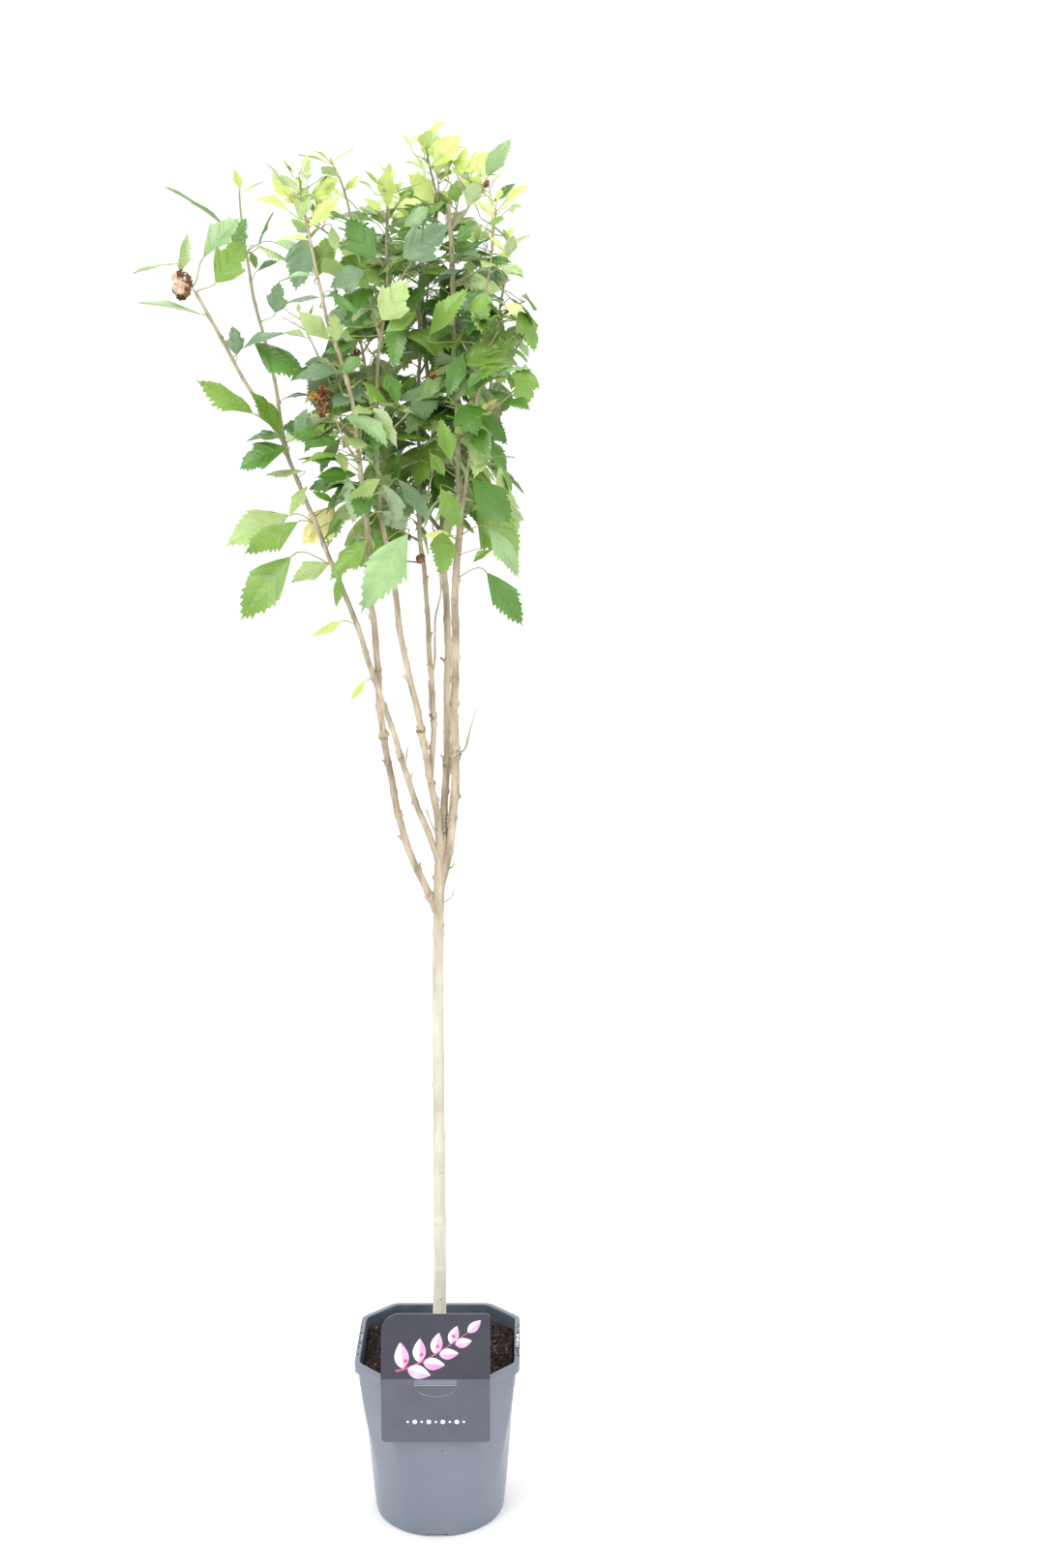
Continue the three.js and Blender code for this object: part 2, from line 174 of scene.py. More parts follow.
STEMS = {
    "left_middle_bough": {
        "root": [(3.3, 0.5, 666), (3, 0.4, 683)],
        "bend": [(1, 0, 700), (-59, 2, 812), (-54, -8, 940), (-61, -36, 1046)],
        "onward": [(-65, -52, 1138), (-76, -62, 1240), (-98, -69, 1322), (-110, -75, 1379),
                   (-120, -81, 1450)],
        "thick": (7.6, 6.0, 2.0),
        "leafy": 1100,
        "knots": [(716, 1.5), (891, 2.4), (962, 1.2)],
    },
    "left_bough": {
        "root": [(4.6, 0.8, 722), (4.8, 0.6, 739)],
        "bend": [(4, 0, 755), (-46, -22, 890), (-52, -40, 970), (-133, -26, 1152)],
        "onward": [(-143, -29, 1182), (-148, -31, 1198)],
        "thick": (6.4, 4.4, 3.8),
        "leafy": None,
        "knots": [(870, 1.2), (1120, 1.3)],
        "green": 0,
    },
    "right_bough": {
        "root": [(4.4, 0.9, 704), (6, 1.6, 722)],
        "bend": [(9, 3, 740), (32, 7, 800), (16, 2, 960), (29, -5, 1120)],
        "onward": [(28, -5, 1202), (25, 0, 1281), (23, 5, 1363), (20, 10, 1430)],
        "thick": (9.4, 7.0, 5.0),
        "leafy": 1120,
        "knots": [(800, 1.4), (869, 2.8), (924, 1.8)],
        "blunt": True,
        "green": 0,
    },
    "back_bough": {
        "root": [(5.2, 1, 734), (6.5, 2.4, 750)],
        "bend": [(8, 4, 765), (14, 18, 860), (19, 34, 980), (7, 52, 1145)],
        "onward": [(-1, 62, 1220), (-7, 70, 1270), (-12, 82, 1349), (-17, 95, 1436)],
        "thick": (8.0, 6.4, 2.0),
        "leafy": 1140,
        "knots": [(783, 2.2), (854, 2.0)],
    },
    "middle_bough": {
        "root": [(5.2, 0.8, 736), (5.7, 0, 753)],
        "bend": [(6, -1, 768), (0, -10, 870), (-29, -18, 950), (-40, -26, 1066)],
        "onward": [(-51, -30, 1136), (-54, -28, 1203), (-52, -25, 1253), (-49, -20, 1299), (-42, -15, 1351),
                   (-41, -8, 1456)],
        "thick": (7.4, 5.4, 2.0),
        "leafy": 1130,
        "knots": [(840, 1.3), (898, 2.4)],
    },
    "centre_bough": {
        "root": [(-0.9, -6.8, 824), (-2.2, -7.6, 837)],
        "bend": [(-3, -8, 848), (4, 0, 905), (-4, 10, 990), (-13, 24, 1110)],
        "onward": [(-14, 34, 1211), (-13, 40, 1270), (-12, 46, 1348), (-2, 51, 1396), (6, 54, 1428),
                   (0, 55, 1468), (-6, 56, 1502)],
        "thick": (5.6, 4.6, 1.8),
        "leafy": 1120,
        "knots": [(910, 2.2)],
    },
    "far_left_bough": {
        "root": [(-141, -28.5, 1176), (-143.6, -29.4, 1185)],
        "bend": [(-146, -30, 1194), (-172, -38, 1232), (-196, -48, 1284), (-224, -57, 1335)],
        "onward": [(-230, -59, 1346)],
        "thick": (4.0, 3.2, 2.6),
        "leafy": None,
        "green": 0,
    },
    "inner_left_bough": {
        "root": [(-142.5, -28.6, 1179), (-145.4, -27, 1190)],
        "bend": [(-148, -24, 1200), (-153, -18, 1240), (-164, -8, 1290), (-179, 0, 1348)],
        "onward": [(-184, 5, 1376), (-189, 11, 1410), (-190, 15, 1446)],
        "thick": (3.8, 3.0, 1.6),
        "leafy": None,
    },
    "front_right_bough": {
        "root": [(25.6, -2.6, 1076), (27.4, -4.4, 1089)],
        "bend": [(29, -6, 1100), (31, -10, 1130), (36, -18, 1160), (43, -27, 1190)],
        "onward": [(50, -34, 1260), (56, -38, 1325), (62, -46, 1369), (68, -52, 1424)],
        "thick": (4.0, 3.4, 1.8),
        "leafy": 1180,
    },
    "back_left_bough": {
        "root": [(11.4, 44.6, 1074), (10.4, 46, 1087)],
        "bend": [(9, 47, 1098), (-8, 58, 1124), (-30, 66, 1140), (-52, 76, 1166)],
        "onward": [(-66, 82, 1230), (-78, 88, 1300), (-88, 95, 1390)],
        "thick": (4.4, 3.8, 1.8),
        "leafy": 1150,
    },
    "back_right_bough": {
        "root": [(11.2, 45, 1076), (10.6, 46.8, 1089)],
        "bend": [(10, 48, 1100), (20, 54, 1126), (32, 58, 1146), (46, 64, 1172)],
        "onward": [(58, 70, 1240), (68, 76, 1310), (80, 84, 1400)],
        "thick": (4.4, 3.8, 1.8),
        "leafy": 1156,
    },
}

# Side shoots that are placed one by one: route, thick.
SHOOTS = [
    ([(-49, -20, 1299), (-66, -38, 1366), (-78, -52, 1432), (-92, -60, 1467)], (3.4, 1.6)),
    ([(4, 54, 1425), (8, 52, 1446), (6, 50, 1474)], (2.0, 1.2)),
    ([(21, 8, 1400), (28, 16, 1430), (32, 24, 1458)], (2.6, 1.4)),
    ([(21, 8, 1404), (38, 8, 1424), (46, 10, 1440)], (2.6, 1.4)),
    ([(64, -48, 1384), (64, -20, 1420), (60, 4, 1452)], (2.4, 1.4)),
    ([(-71, -57, 1190), (-84, -46, 1206), (-90, -40, 1228), (-99, -36, 1256), (-107, -34, 1274),
      (-117, -32, 1295), (-127, -32, 1316)], (2.6, 1.4)),
]

# Dry twigs and hooked snags on the trunk and the boughs: route, thick.
DRY_TWIGS = [
    ([(23, 6, 867), (29, 5, 871), (34, 4, 877), (38, 3, 893), (45, 2, 918)], (1.9, 1.0)),
    ([(-1, -1, 909), (-3.6, -2, 921), (-3.4, -2, 932), (-4.6, -3, 949)], (1.8, 1.1)),
    ([(4, -5, 781), (0, -7, 790), (-4, -8, 800), (-8, -8, 812)], (1.9, 1.2)),
    ([(-1, 5, 953), (2, 4, 972), (3, 3, 1013), (9, 1, 1043), (6, 0, 1086)], (2.2, 1.4)),
    ([(6, 1, 706), (15, 1, 711), (19, 1, 716), (21, 1, 723)], (1.4, 0.8)),
    ([(14, 4, 744), (19, 3, 747), (22, 3, 751)], (2.0, 1.2)),
    ([(-51, -12, 891), (-55, -13, 897), (-55, -13, 911)], (1.8, 1.2)),
    ([(-7, -11, 873), (-5, -14, 880), (-6, -14, 888)], (2.0, 1.3)),
    ([(-29, -24, 864), (-27, -27, 872), (-26, -27, 882)], (1.8, 1.2)),
    ([(-123, -32, 1306), (-133, -32, 1312), (-145, -31, 1318)], (1.6, 1.0)),
]

# ---- Leaves -----------------------------------------------------------------------------------
# Leaves that show clearly in the photo: foot, tip, face, lobes, tint. face is 0 where the upper
# side looks up and 90 where it looks towards -Y.

CLEAR_LEAVES = [
    ((-134, -28, 1116), (-190, -34, 1083), 72, 0.25, "mid"),
    ((-146, -4, 1121), (-213, -2, 1088), 46, 0.2, "fresh"),
    ((-143, -20, 1080), (-197, -24, 1014), 75, 0.0, "mid"),
    ((-104, -24, 1073), (-145, -28, 1053), 62, 0.4, "fresh"),
    ((-99, -8, 1130), (-134, -6, 1090), 66, 0.8, "yellow"),
    ((-124, -14, 1114), (-130, -16, 1094), 60, 0.1, "yellow"),
    ((-125, -34, 1151), (-142, -38, 1121), 48, 0.6, "fresh"),
    ((-62, -50, 1099), (-101, -60, 1058), 68, 0.5, "mid"),
    ((-91, -36, 1064), (-96, -40, 1029), 18, 0.0, "mid"),
    ((-21, -60, 1106), (-69, -72, 1026), 72, 0.0, "pale"),
    ((-92, -36, 1015), (-122, -40, 999), 24, 0.0, "lime"),
    ((-96, -30, 1134), (-120, -34, 1147), 30, 0.0, "mid"),
    ((-88, -30, 1119), (-110, -36, 1094), 20, 0.0, "deep"),
    ((-241, -60, 1360), (-231, -62, 1398), 58, 0.1, "fresh"),
    ((-244, -62, 1368), (-286, -70, 1358), 8, 0.0, "fresh"),
    ((-220, -60, 1320), (-283, -70, 1331), 10, 0.1, "pale"),
    ((-219, -52, 1374), (-181, -50, 1413), 45, 0.4, "pale"),
    ((-195, -10, 1388), (-181, -8, 1416), 62, 0.6, "deep"),
    ((-206, -62, 1350), (-174, -66, 1391), 84, 1.0, "mid"),
    ((-175, -6, 1389), (-136, -6, 1369), 24, 0.0, "fresh"),
    ((-172, 10, 1390), (-156, 12, 1424), 14, 0.2, "deep"),
    ((-172, -8, 1364), (-150, -8, 1374), 34, 0.1, "sage"),
    ((-178, -14, 1383), (-172, -14, 1365), 75, 0.3, "mid"),
    ((-117, -45, 1396), (-130, -45, 1342), 84, 0.3, "sage"),
    ((-115, -50, 1398), (-133, -50, 1411), 62, 0.6, "pale"),
    ((-110, -40, 1356), (-90, -40, 1397), 80, 0.5, "mid"),
    ((-109, -78, 1357), (-143, -80, 1350), 26, 0.0, "pale"),
    ((-111, -76, 1389), (-146, -76, 1387), 24, 0.5, "lime"),
    ((-206, 10, 1409), (-266, 12, 1448), 4, 0.0, "deep"),
    ((-157, 0, 1393), (-125, 2, 1381), 30, 0.2, "pale"),
    ((-154, -16, 1323), (-148, -24, 1354), 76, 0.8, "sage"),
    ((-143, -18, 1332), (-108, -20, 1338), 12, 0.0, "sage"),
    ((-188, -56, 1281), (-192, -58, 1310), 66, 0.9, "sage"),
    ((-183, -50, 1288), (-140, -46, 1303), 18, 0.1, "sage"),
    ((-174, -34, 1294), (-122, -38, 1258), 56, 0.1, "deep"),
    ((-173, -56, 1224), (-229, -64, 1257), 46, 0.2, "mid"),
    ((-147, -44, 1202), (-178, -50, 1247), 42, 0.2, "mid"),
    ((-127, -38, 1167), (-166, -42, 1163), 30, 0.0, "fresh"),
    ((-147, -42, 1201), (-183, -46, 1197), 34, 0.7, "deep"),
    ((-142, -44, 1191), (-190, -50, 1169), 50, 0.6, "deep"),
    ((-91, -60, 1264), (-132, -62, 1258), 56, 0.3, "sage"),
    ((-146, -24, 1239), (-120, -24, 1242), 16, 0.1, "sage"),
    ((-89, -66, 1264), (-62, -68, 1278), 60, 0.3, "deep"),
    ((-88, -60, 1195), (-139, -64, 1205), 62, 0.2, "deep"),
    ((-134, -40, 1202), (-120, -44, 1230), 56, 0.3, "sage"),
    ((-58, -66, 1193), (-87, -70, 1200), 42, 0.2, "fresh"),
    ((-48, -60, 1160), (-83, -66, 1138), 46, 0.3, "fresh"),
    ((-72, -50, 1164), (-113, -54, 1161), 52, 0.2, "deep"),
    ((-90, -50, 1187), (-82, -54, 1166), 60, 0.4, "fresh"),
    ((25, -20, 1101), (-8, -24, 1101), 34, 0.1, "yellow"),
    ((22, -40, 1177), (12, -44, 1221), 80, 0.2, "mid"),
    ((1, -40, 1185), (16, -46, 1162), 68, 0.3, "mid"),
    ((-31, -30, 1183), (-36, -34, 1152), 60, 0.2, "deep"),
    ((11, -30, 1150), (32, -34, 1108), 68, 0.3, "mid"),
    ((-43, -78, 1314), (-16, -84, 1352), 80, 1.0, "fresh"),
    ((-40, -72, 1303), (-9, -76, 1322), 62, 0.2, "mid"),
    ((-60, -66, 1361), (-94, -70, 1344), 54, 0.6, "sage"),
    ((-94, -72, 1295), (-124, -74, 1323), 72, 0.2, "fresh"),
    ((-87, -78, 1294), (-90, -80, 1321), 74, 0.9, "fresh"),
    ((-50, -58, 1372), (-78, -64, 1412), 80, 0.9, "deep"),
    ((-120, -80, 1408), (-112, -82, 1440), 70, 0.5, "fresh"),
    ((-29, -58, 1318), (-33, -64, 1266), 74, 0.2, "deep"),
    ((2, -58, 1300), (42, -64, 1346), 46, 0.3, "mid"),
    ((-40, -10, 1425), (-40, -12, 1463), 84, 0.0, "lime"),
    ((-23, -52, 1374), (24, -58, 1406), 80, 1.0, "sage"),
    ((29, -30, 1391), (49, -34, 1411), 70, 0.8, "deep"),
    ((32, -40, 1272), (88, -46, 1290), 50, 0.3, "mid"),
    ((-111, -80, 1402), (-80, -84, 1430), 66, 0.2, "lime"),
    ((-5, 56, 1501), (17, 55, 1515), 50, 0.1, "lime"),
    ((-4, 56, 1480), (22, 52, 1503), 64, 0.2, "lime"),
    ((-3, 56, 1478), (-10, 54, 1500), 34, 0.0, "lime"),
    ((5, 50, 1474), (35, 46, 1490), 46, 0.4, "lime"),
    ((4, 40, 1470), (32, 36, 1501), 70, 0.6, "lime"),
    ((28, 36, 1458), (38, 34, 1490), 62, 0.6, "lime"),
    ((36, 30, 1463), (66, 26, 1480), 62, 0.8, "lime"),
    ((57, 12, 1440), (35, 8, 1457), 60, 0.6, "lime"),
    ((19, 20, 1433), (36, 16, 1456), 70, 0.5, "mid"),
    ((4, 30, 1432), (-22, 26, 1461), 58, 0.3, "lime"),
    ((-24, -20, 1406), (2, -24, 1424), 60, 0.3, "pale"),
    ((-44, -20, 1421), (-64, -24, 1433), 50, 0.2, "lime"),
    ((-90, -76, 1402), (-86, -80, 1378), 78, 0.2, "fresh"),
    ((57, 16, 1455), (84, 12, 1494), 45, 0.4, "pale"),
    ((17, 48, 1462), (10, 48, 1484), 36, 0.0, "lime"),
    ((47, 8, 1438), (50, 4, 1460), 80, 0.8, "lime"),
    ((26, 18, 1432), (29, 14, 1455), 70, 0.6, "mid"),
    ((65, 6, 1432), (88, 2, 1450), 56, 0.3, "deep"),
    ((57, -20, 1064), (95, -26, 1008), 72, 0.1, "deep"),
    ((59, -16, 1108), (90, -20, 1057), 46, 0.1, "pale"),
    ((63, -22, 1087), (43, -24, 1074), 40, 0.0, "mid"),
    ((52, -10, 1219), (69, -14, 1239), 60, 0.5, "yellow"),
    ((53, -20, 1223), (79, -24, 1192), 76, 0.3, "deep"),
    ((43, -20, 1158), (82, -24, 1113), 60, 0.3, "deep"),
    ((33, -10, 1277), (88, -16, 1301), 42, 0.2, "mid"),
    ((-92, -60, 1462), (-68, -62, 1476), 30, 0.1, "lime"),
    ((-92, -60, 1462), (-124, -62, 1470), 20, 0.1, "lime"),
    ((-80, -54, 1436), (-64, -56, 1452), 40, 0.3, "lime"),
    ((-190, 14, 1444), (-196, 14, 1466), 50, 0.2, "lime"),
    ((-190, 14, 1440), (-166, 12, 1452), 30, 0.1, "lime"),
    ((-67, -28, 953), (-84, -32, 931), 32, 0.1, "lime"),
]

# ---- Dried flowers ----------------------------------------------------------------------------

PETAL_GRID = (7, 6)
PETAL_THICKNESS = 0.25
STALK_TONE = 2  # dark, the third of the dried materials

# Withered flowers and leaves: middle, half size, number of petals and mix of tones.
DRIED_FLOWERS = [
    ((-240, -60, 1348), (14, 12, 19), 80, "pale"),
    ((-103, -62, 1234), (6, 5, 25), 34, "dark"),
    ((-111, -66, 1242), (8, 6, 9), 14, "gold"),
    ((-10, -30, 1078), (4, 4, 9), 8, "dark"),
    ((-22, -28, 1100), (4, 3, 3), 4, "dark"),
    ((58, 2, 1448), (4, 4, 5), 7, "pale"),
    ((-70, -46, 1284), (5, 4, 8), 7, "dark"),
    ((4, -38, 1262), (4, 4, 7), 6, "dark"),
]

# The share of each of the dried materials in a mix: pale, brown, dark and gold.
DRIED_MIXES = {
    "pale": (0.43, 0.38, 0.19, 0.0),
    "dark": (0.06, 0.34, 0.56, 0.04),
    "gold": (0.04, 0.18, 0.06, 0.72),
}

# ---- Leaf blades and the crown's growth -------------------------------------------------------

TOOTH_COUNT = 7
TOOTH_SIZE = 0.034  # for each unit of the blade's length
COLUMN_SHARES = (0.36, 0.7, 1.0)  # where the blade's points lie along each vein, from midrib to edge
VEIN_SLOPE = 1.15  # how far a side vein runs towards the tip on its way to the edge
BLADE_THICKNESS = 0.35
VEIN_SHARE = 0.0045  # a midrib's half width for each millimetre of leaf
VEIN_LIFT = 0.3
PETIOLE_RADII = (0.85, 0.6, 0.5, 0.47, 0.47, 0.52, 0.62)
PETIOLE_SIDES = 5
PETIOLE_LENGTHS = (8, 25)
LEAF_LENGTHS = (38, 66)
LEAF_TRIES = 6
MIDDLE_SPARE = 5  # how far a leaf's middle and its tip may stand out of the masses
TIP_SPARE = 14
SIDE_SHOOTS = 0.26  # the share of nodes that try a side shoot
SINGLES = 0.5  # and the share that bear that or a single leaf
SIDE_SHOOT_LENGTHS = (28, 62)
SIDE_SHOOT_SPARE = 4
SHOOT_SPACING = 13
NODE_SPACING = 14
GOLDEN_TURN = math.radians(137.5)
TUFT_LEAVES = 5
TUFT_SPARE = 18
BOX_SPARE = 2
CROWN_MIDDLE = (-20, 20)
CROWN_RADIUS = 110
LIME_GLOW_RISE = (1365, 1440)  # the heights between which the leaves turn lime, partly young growth and partly painted glow of light through the top leaves
DARK_RISE = (1130, 1230)  # and those between which more of them are dark
SMALL_RISE = (1330, 1450)  # and those between which they grow smaller and point up
FILL_TRIES = 3200
FILL_INSIDE = 3  # a gap's middle lies at least this deep in a mass
FILL_GAP = 23  # a gap is a place with no leaf's middle as near as this
FILL_HEIGHTS = (1095, 1434)
FILL_FROM = 1085  # the lowest place that a filling twig grows from
FILL_REACH = (14, 90)
FILL_SHORT = 18  # how far it stops before the middle of the gap
FILL_SPACING = 14
FILL_LEFT = (-122, -150)  # below and above the height where the left side fills out
FILL_LEFT_RISE = 1335
OPEN_STEMS = ("left_middle_bough", "middle_bough", "centre_bough", "right_bough",
              "left_bough", "inner_left_bough", "far_left_bough")
LANE_HALF_WIDTH = 13  # leaves mostly keep this far to either side of those stems' fronts
LANE_HALF_HEIGHT = 18
LANE_KEPT = 0.85
SHOWN_REACH = 12  # no leaf grows as near as this in front of a listed leaf or dried flower
SHOWN_DEPTH = 9  # nor behind it by less than this

# Openings where the sky shows through from the front: x and z at the depth GAP_DEPTH, and reach.
GAP_DEPTH = -60
SKY_GAPS = [(-116, 1300, 24), (-146, 1236, 26), (-151, 1300, 22), (-97, 1215, 12)]

# ---- Colours, as seen on screen ---------------------------------------------------------------

NOISE_MIDDLE = (0.32, 0.68)  # the values of a noise between which a surface's colours change
ROUGHNESS_SWING = 0.07

# The leaves' two sides: upper, under.
TINTS = {
    "deep": ((82, 129, 42), (131, 162, 94)),
    "mid": ((117, 155, 57), (163, 188, 113)),
    "fresh": ((158, 182, 110), (188, 206, 152)),
    "sage": ((112, 142, 102), (158, 181, 141)),
    "pale": ((145, 179, 118), (184, 204, 155)),
    # lime: the paler young leaves, brightened as painted glow of light shining through them
    "lime": ((199, 216, 119), (212, 228, 152)),
    "yellow": ((248, 240, 164), (248, 242, 178)),
}

BOUGH_COLOURS = ((140, 126, 106), (202, 189, 164))
TRUNK_COLOURS = ((184, 179, 158), (210, 206, 188))
# The paler bark at the trunk's foot is painted light that offsets the shade of the pot's rim and the tag.
TRUNK_FOOT_PAINTED_LIGHT_COLOURS = ((206, 203, 186), (230, 227, 214))
TRUNK_FADES = ((190, 460, *TRUNK_COLOURS), (600, 745, *BOUGH_COLOURS))  # heights and colours; the base is the foot's paler bark, painted light, which fades to the trunk's own colours and then to the boughs'
CHIP_COLOURS = (((42, 33, 32), (66, 53, 50)), ((56, 42, 38), (84, 65, 58)),
                ((96, 78, 68), (132, 110, 96)), ((22, 18, 18), (38, 31, 30)))
PRINT_INKS = {
    "pink": ((222, 140, 200), (240, 190, 226)),
    "pale": ((246, 228, 242), (252, 244, 250)),
    "rose": ((186, 84, 122), (200, 104, 140)),
    "white": ((236, 236, 240), (244, 244, 248)),
}
# The dried flowers' dark and light colours and roughness.
DRIED_TONES = {
    "pale": ((196, 166, 136), (228, 208, 186), 0.8),
    "brown": ((128, 88, 50), (164, 122, 78), 0.8),
    "dark": ((76, 48, 34), (112, 76, 54), 0.8),
    "gold": ((170, 116, 42), (208, 158, 74), 0.75),
}


# ---- Small tools ------------------------------------------------------------------------------


def linear(colour):
    """A screen colour of 0 to 255 as the linear colour that shaders take."""
    shares = [value / 255 for value in colour]
    return tuple(s / 12.92 if s <= 0.04045 else ((s + 0.055) / 1.055) ** 2.4 for s in shares) + (1.0,)


def smoothstep(value, low, high):
    share = min(max((value - low) / (high - low), 0), 1)
    return share * share * (3 - 2 * share)


def bell(gap, width):
    """1 where the gap is 0, falling away on both sides of it."""
    return np.exp(-((gap / width) ** 2))


def draws(kind, order=0):
    """The random draws for one kind of thing, or for one of its kind."""
    return np.random.default_rng(SEEDS[kind] + order)


def unit(vectors):
    vectors = np.asarray(vectors, float)
    return vectors / np.maximum(np.linalg.norm(vectors, axis=-1, keepdims=True), 1e-9)


def circle(sides):
    """The angles of the points of a ring."""
    return np.arange(sides) / sides * 2 * math.pi


def level_way(turn):
    """The level direction at an angle from +X."""
    return np.array((math.cos(turn), math.sin(turn), 0.0))


def swung(way, angle):
    """The level part of a direction, turned about the upright."""
    c, s = math.cos(angle), math.sin(angle)
    return level_part(np.array((way[0] * c - way[1] * s, way[0] * s + way[1] * c, 0.0)))


def level_part(way):
    return unit(way * (1, 1, 0) + 1e-6)


def bezier(corners, count):
    a, b, c, d = np.array(corners, float)
    share = np.linspace(0, 1, count)[:, None]
    rest = 1 - share
    return rest**3 * a + 3 * rest**2 * share * b + 3 * rest * share**2 * c + share**3 * d


def distances(points):
    """How far along a line each of its points is."""
    gaps = np.linalg.norm(np.diff(points, axis=0), axis=1)
    return np.concatenate([[0], np.cumsum(gaps)])


def rows_at(at, along, rows):
    """What the rows hold at one or more distances along a line."""
    return np.stack([np.interp(at, along, rows[:, axis]) for axis in range(3)], axis=-1)


def resample(points, step):
    """The same line with its points about step apart."""
    along = distances(points)
    count = max(3, round(along[-1] / step) + 1)
    return rows_at(np.linspace(0, along[-1], count), along, points)


def through(knots, step):
    """A smooth line through the knots."""
    knots = np.array(knots, float)
    padded = np.vstack([2 * knots[0] - knots[1], knots, 2 * knots[-1] - knots[-2]])
    share = np.linspace(0, 1, 24, endpoint=False)[:, None]
    spans = []
    for before, here, there, after in zip(padded, padded[1:], padded[2:], padded[3:]):
        straight = 2 * here + (there - before) * share
        curved = (2 * before - 5 * here + 4 * there - after) * share**2
        curved = curved + (3 * here - before - 3 * there + after) * share**3
        spans.append((straight + curved) / 2)
    return resample(np.vstack(spans + [knots[-1:]]), step)


def frames(points):
    """The directions along and across a line at each of its points, with no needless turning."""
    tangents = unit(np.gradient(points, axis=0))
    across = unit(np.cross(tangents[0], (0.31, 0.95, 0.07)))
    sideways = []
    for tangent in tangents:
        across = unit(across - tangent * np.dot(across, tangent))
        sideways.append(across)
    sideways = np.array(sideways)
    return tangents, sideways, np.cross(tangents, sideways)


def ring_faces(rings, sides):
    """The faces between rings of equal count and of the two fans that close them. The fans'
    middle points come after the rings."""
    pairs = [(side, (side + 1) % sides) for side in range(sides)]
    last, ends = (rings - 1) * sides, rings * sides
    faces = [(low + side, low + near, low + sides + near, low + sides + side)
             for low in range(0, last, sides) for side, near in pairs]
    for side, near in pairs:
        faces += [(ends, near, side), (ends + 1, last + side, last + near)]
    return faces


def skin(rings, foot, head):
    """A closed skin over rings of equal count, from a foot point to a head point."""
    return np.vstack([*rings, [foot], [head]]), ring_faces(len(rings), len(rings[0]))


def tube(points, radii, sides):
    """A closed skin round a line. radii has a row for each point, with one value or one per side."""
    _, across, over = frames(points)
    turn = circle(sides)
    radii = np.broadcast_to(np.reshape(radii, (len(points), -1)), (len(points), sides))
    rings = across[:, None] * np.cos(turn)[:, None] + over[:, None] * np.sin(turn)[:, None]
    rings = points[:, None] + rings * radii[:, :, None]
    return skin(rings, points[0], points[-1])


def lump(middle, size, rng, levels=4, sides=8):
    """A small uneven blob."""
    turn = circle(sides)
    rings = []
    for level in range(1, levels + 1):
        angle = math.pi * level / (levels + 1)
        reach = math.sin(angle) * rng.uniform(0.7, 1.2, sides)
        height = np.full(sides, -math.cos(angle)) + rng.uniform(-0.12, 0.12, sides)
        ring = np.column_stack([reach * np.cos(turn), reach * np.sin(turn), height])
        rings.append(ring * size + middle)
    return skin(rings, middle - (0, 0, size[2]), middle + (0, 0, size[2]))


def box_points(low, high):
    corners = [(x, y, z) for x in (low[0], high[0]) for y in (low[1], high[1]) for z in (low[2], high[2])]
    faces = [(0, 1, 3, 2), (4, 6, 7, 5), (0, 4, 5, 1), (2, 3, 7, 6), (0, 2, 6, 4), (1, 5, 7, 3)]
    return np.array(corners, float), faces


def turned(points, quarters):
    """The points turned about the upright, by a number of quarter turns."""
    angle = quarters * math.pi / 2
    c, s = math.cos(angle), math.sin(angle)
    return points @ np.array([[c, s, 0], [-s, c, 0], [0, 0, 1]])


class Heap:
    """Many small shapes gathered for one joined mesh. marks number the faces' materials."""

    def __init__(self):
        self.points = []
        self.faces = []
        self.marks = []
        self.count = 0

    def add(self, points, faces, marks=0):
        self.faces += [tuple(corner + self.count for corner in face) for face in faces]
        self.marks += [marks] * len(faces) if isinstance(marks, int) else marks
        self.points.append(points)
        self.count += len(points)


def placed(name, data):
    """A new object in the scene."""
    made = bpy.data.objects.new(name, data)
    bpy.context.scene.collection.objects.link(made)
    return made


def mesh_of(name, points, faces, materials=()):
    mesh = bpy.data.meshes.new(name)
    mesh.from_pydata((np.asarray(points) * MM).tolist(), [], faces)
    for material in materials:
        mesh.materials.append(material)
    return mesh


def evaluated_mesh(made):
    """A mesh of what an object comes to with its fills and modifiers."""
    bpy.context.view_layer.update()
    return bpy.data.meshes.new_from_object(made.evaluated_get(bpy.context.evaluated_depsgraph_get()))


def piece(name, points, faces, materials, slot, nodes=(), marks=None, smooth=True):
    """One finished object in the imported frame, which rides on the only body."""
    mesh = mesh_of(name, points, faces, materials)
    if marks is not None:
        mesh.polygons.foreach_set("material_index", marks)
    mesh.polygons.foreach_set("use_smooth", [smooth] * len(mesh.polygons))
    mesh.update()
    made = placed(name, mesh)
    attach(made, "root")
    if nodes:
        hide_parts(*nodes)
    return made


def heap_piece(name, heap, materials, slot, nodes=(), smooth=True):
    return piece(name, np.vstack(heap.points), heap.faces, materials, slot, nodes, heap.marks, smooth)


# ---- Materials --------------------------------------------------------------------------------


def plug(material, node, **sockets):
    """Links each named socket to the output it is given, or sets its value. An underscore stands
    for a space in a socket's name."""
    for name, given in sockets.items():
        socket = node.inputs[name.replace("_", " ")]
        if isinstance(given, bpy.types.NodeSocket):
            material.node_tree.links.new(given, socket)
        else:
            socket.default_value = given


def add_node(material, kind, **sockets):
    node = material.node_tree.nodes.new("ShaderNode" + kind)
    plug(material, node, **sockets)
    return node


def toned(material, share, dark, light):
    """A colour that goes from dark to light over the middle values of a noise."""
    ramp = add_node(material, "ValToRGB", Fac=share)
    for element, position, colour in zip(ramp.color_ramp.elements, NOISE_MIDDLE, (dark, light)):
        element.position = position
        element.color = linear(colour)
    return ramp.outputs["Color"]


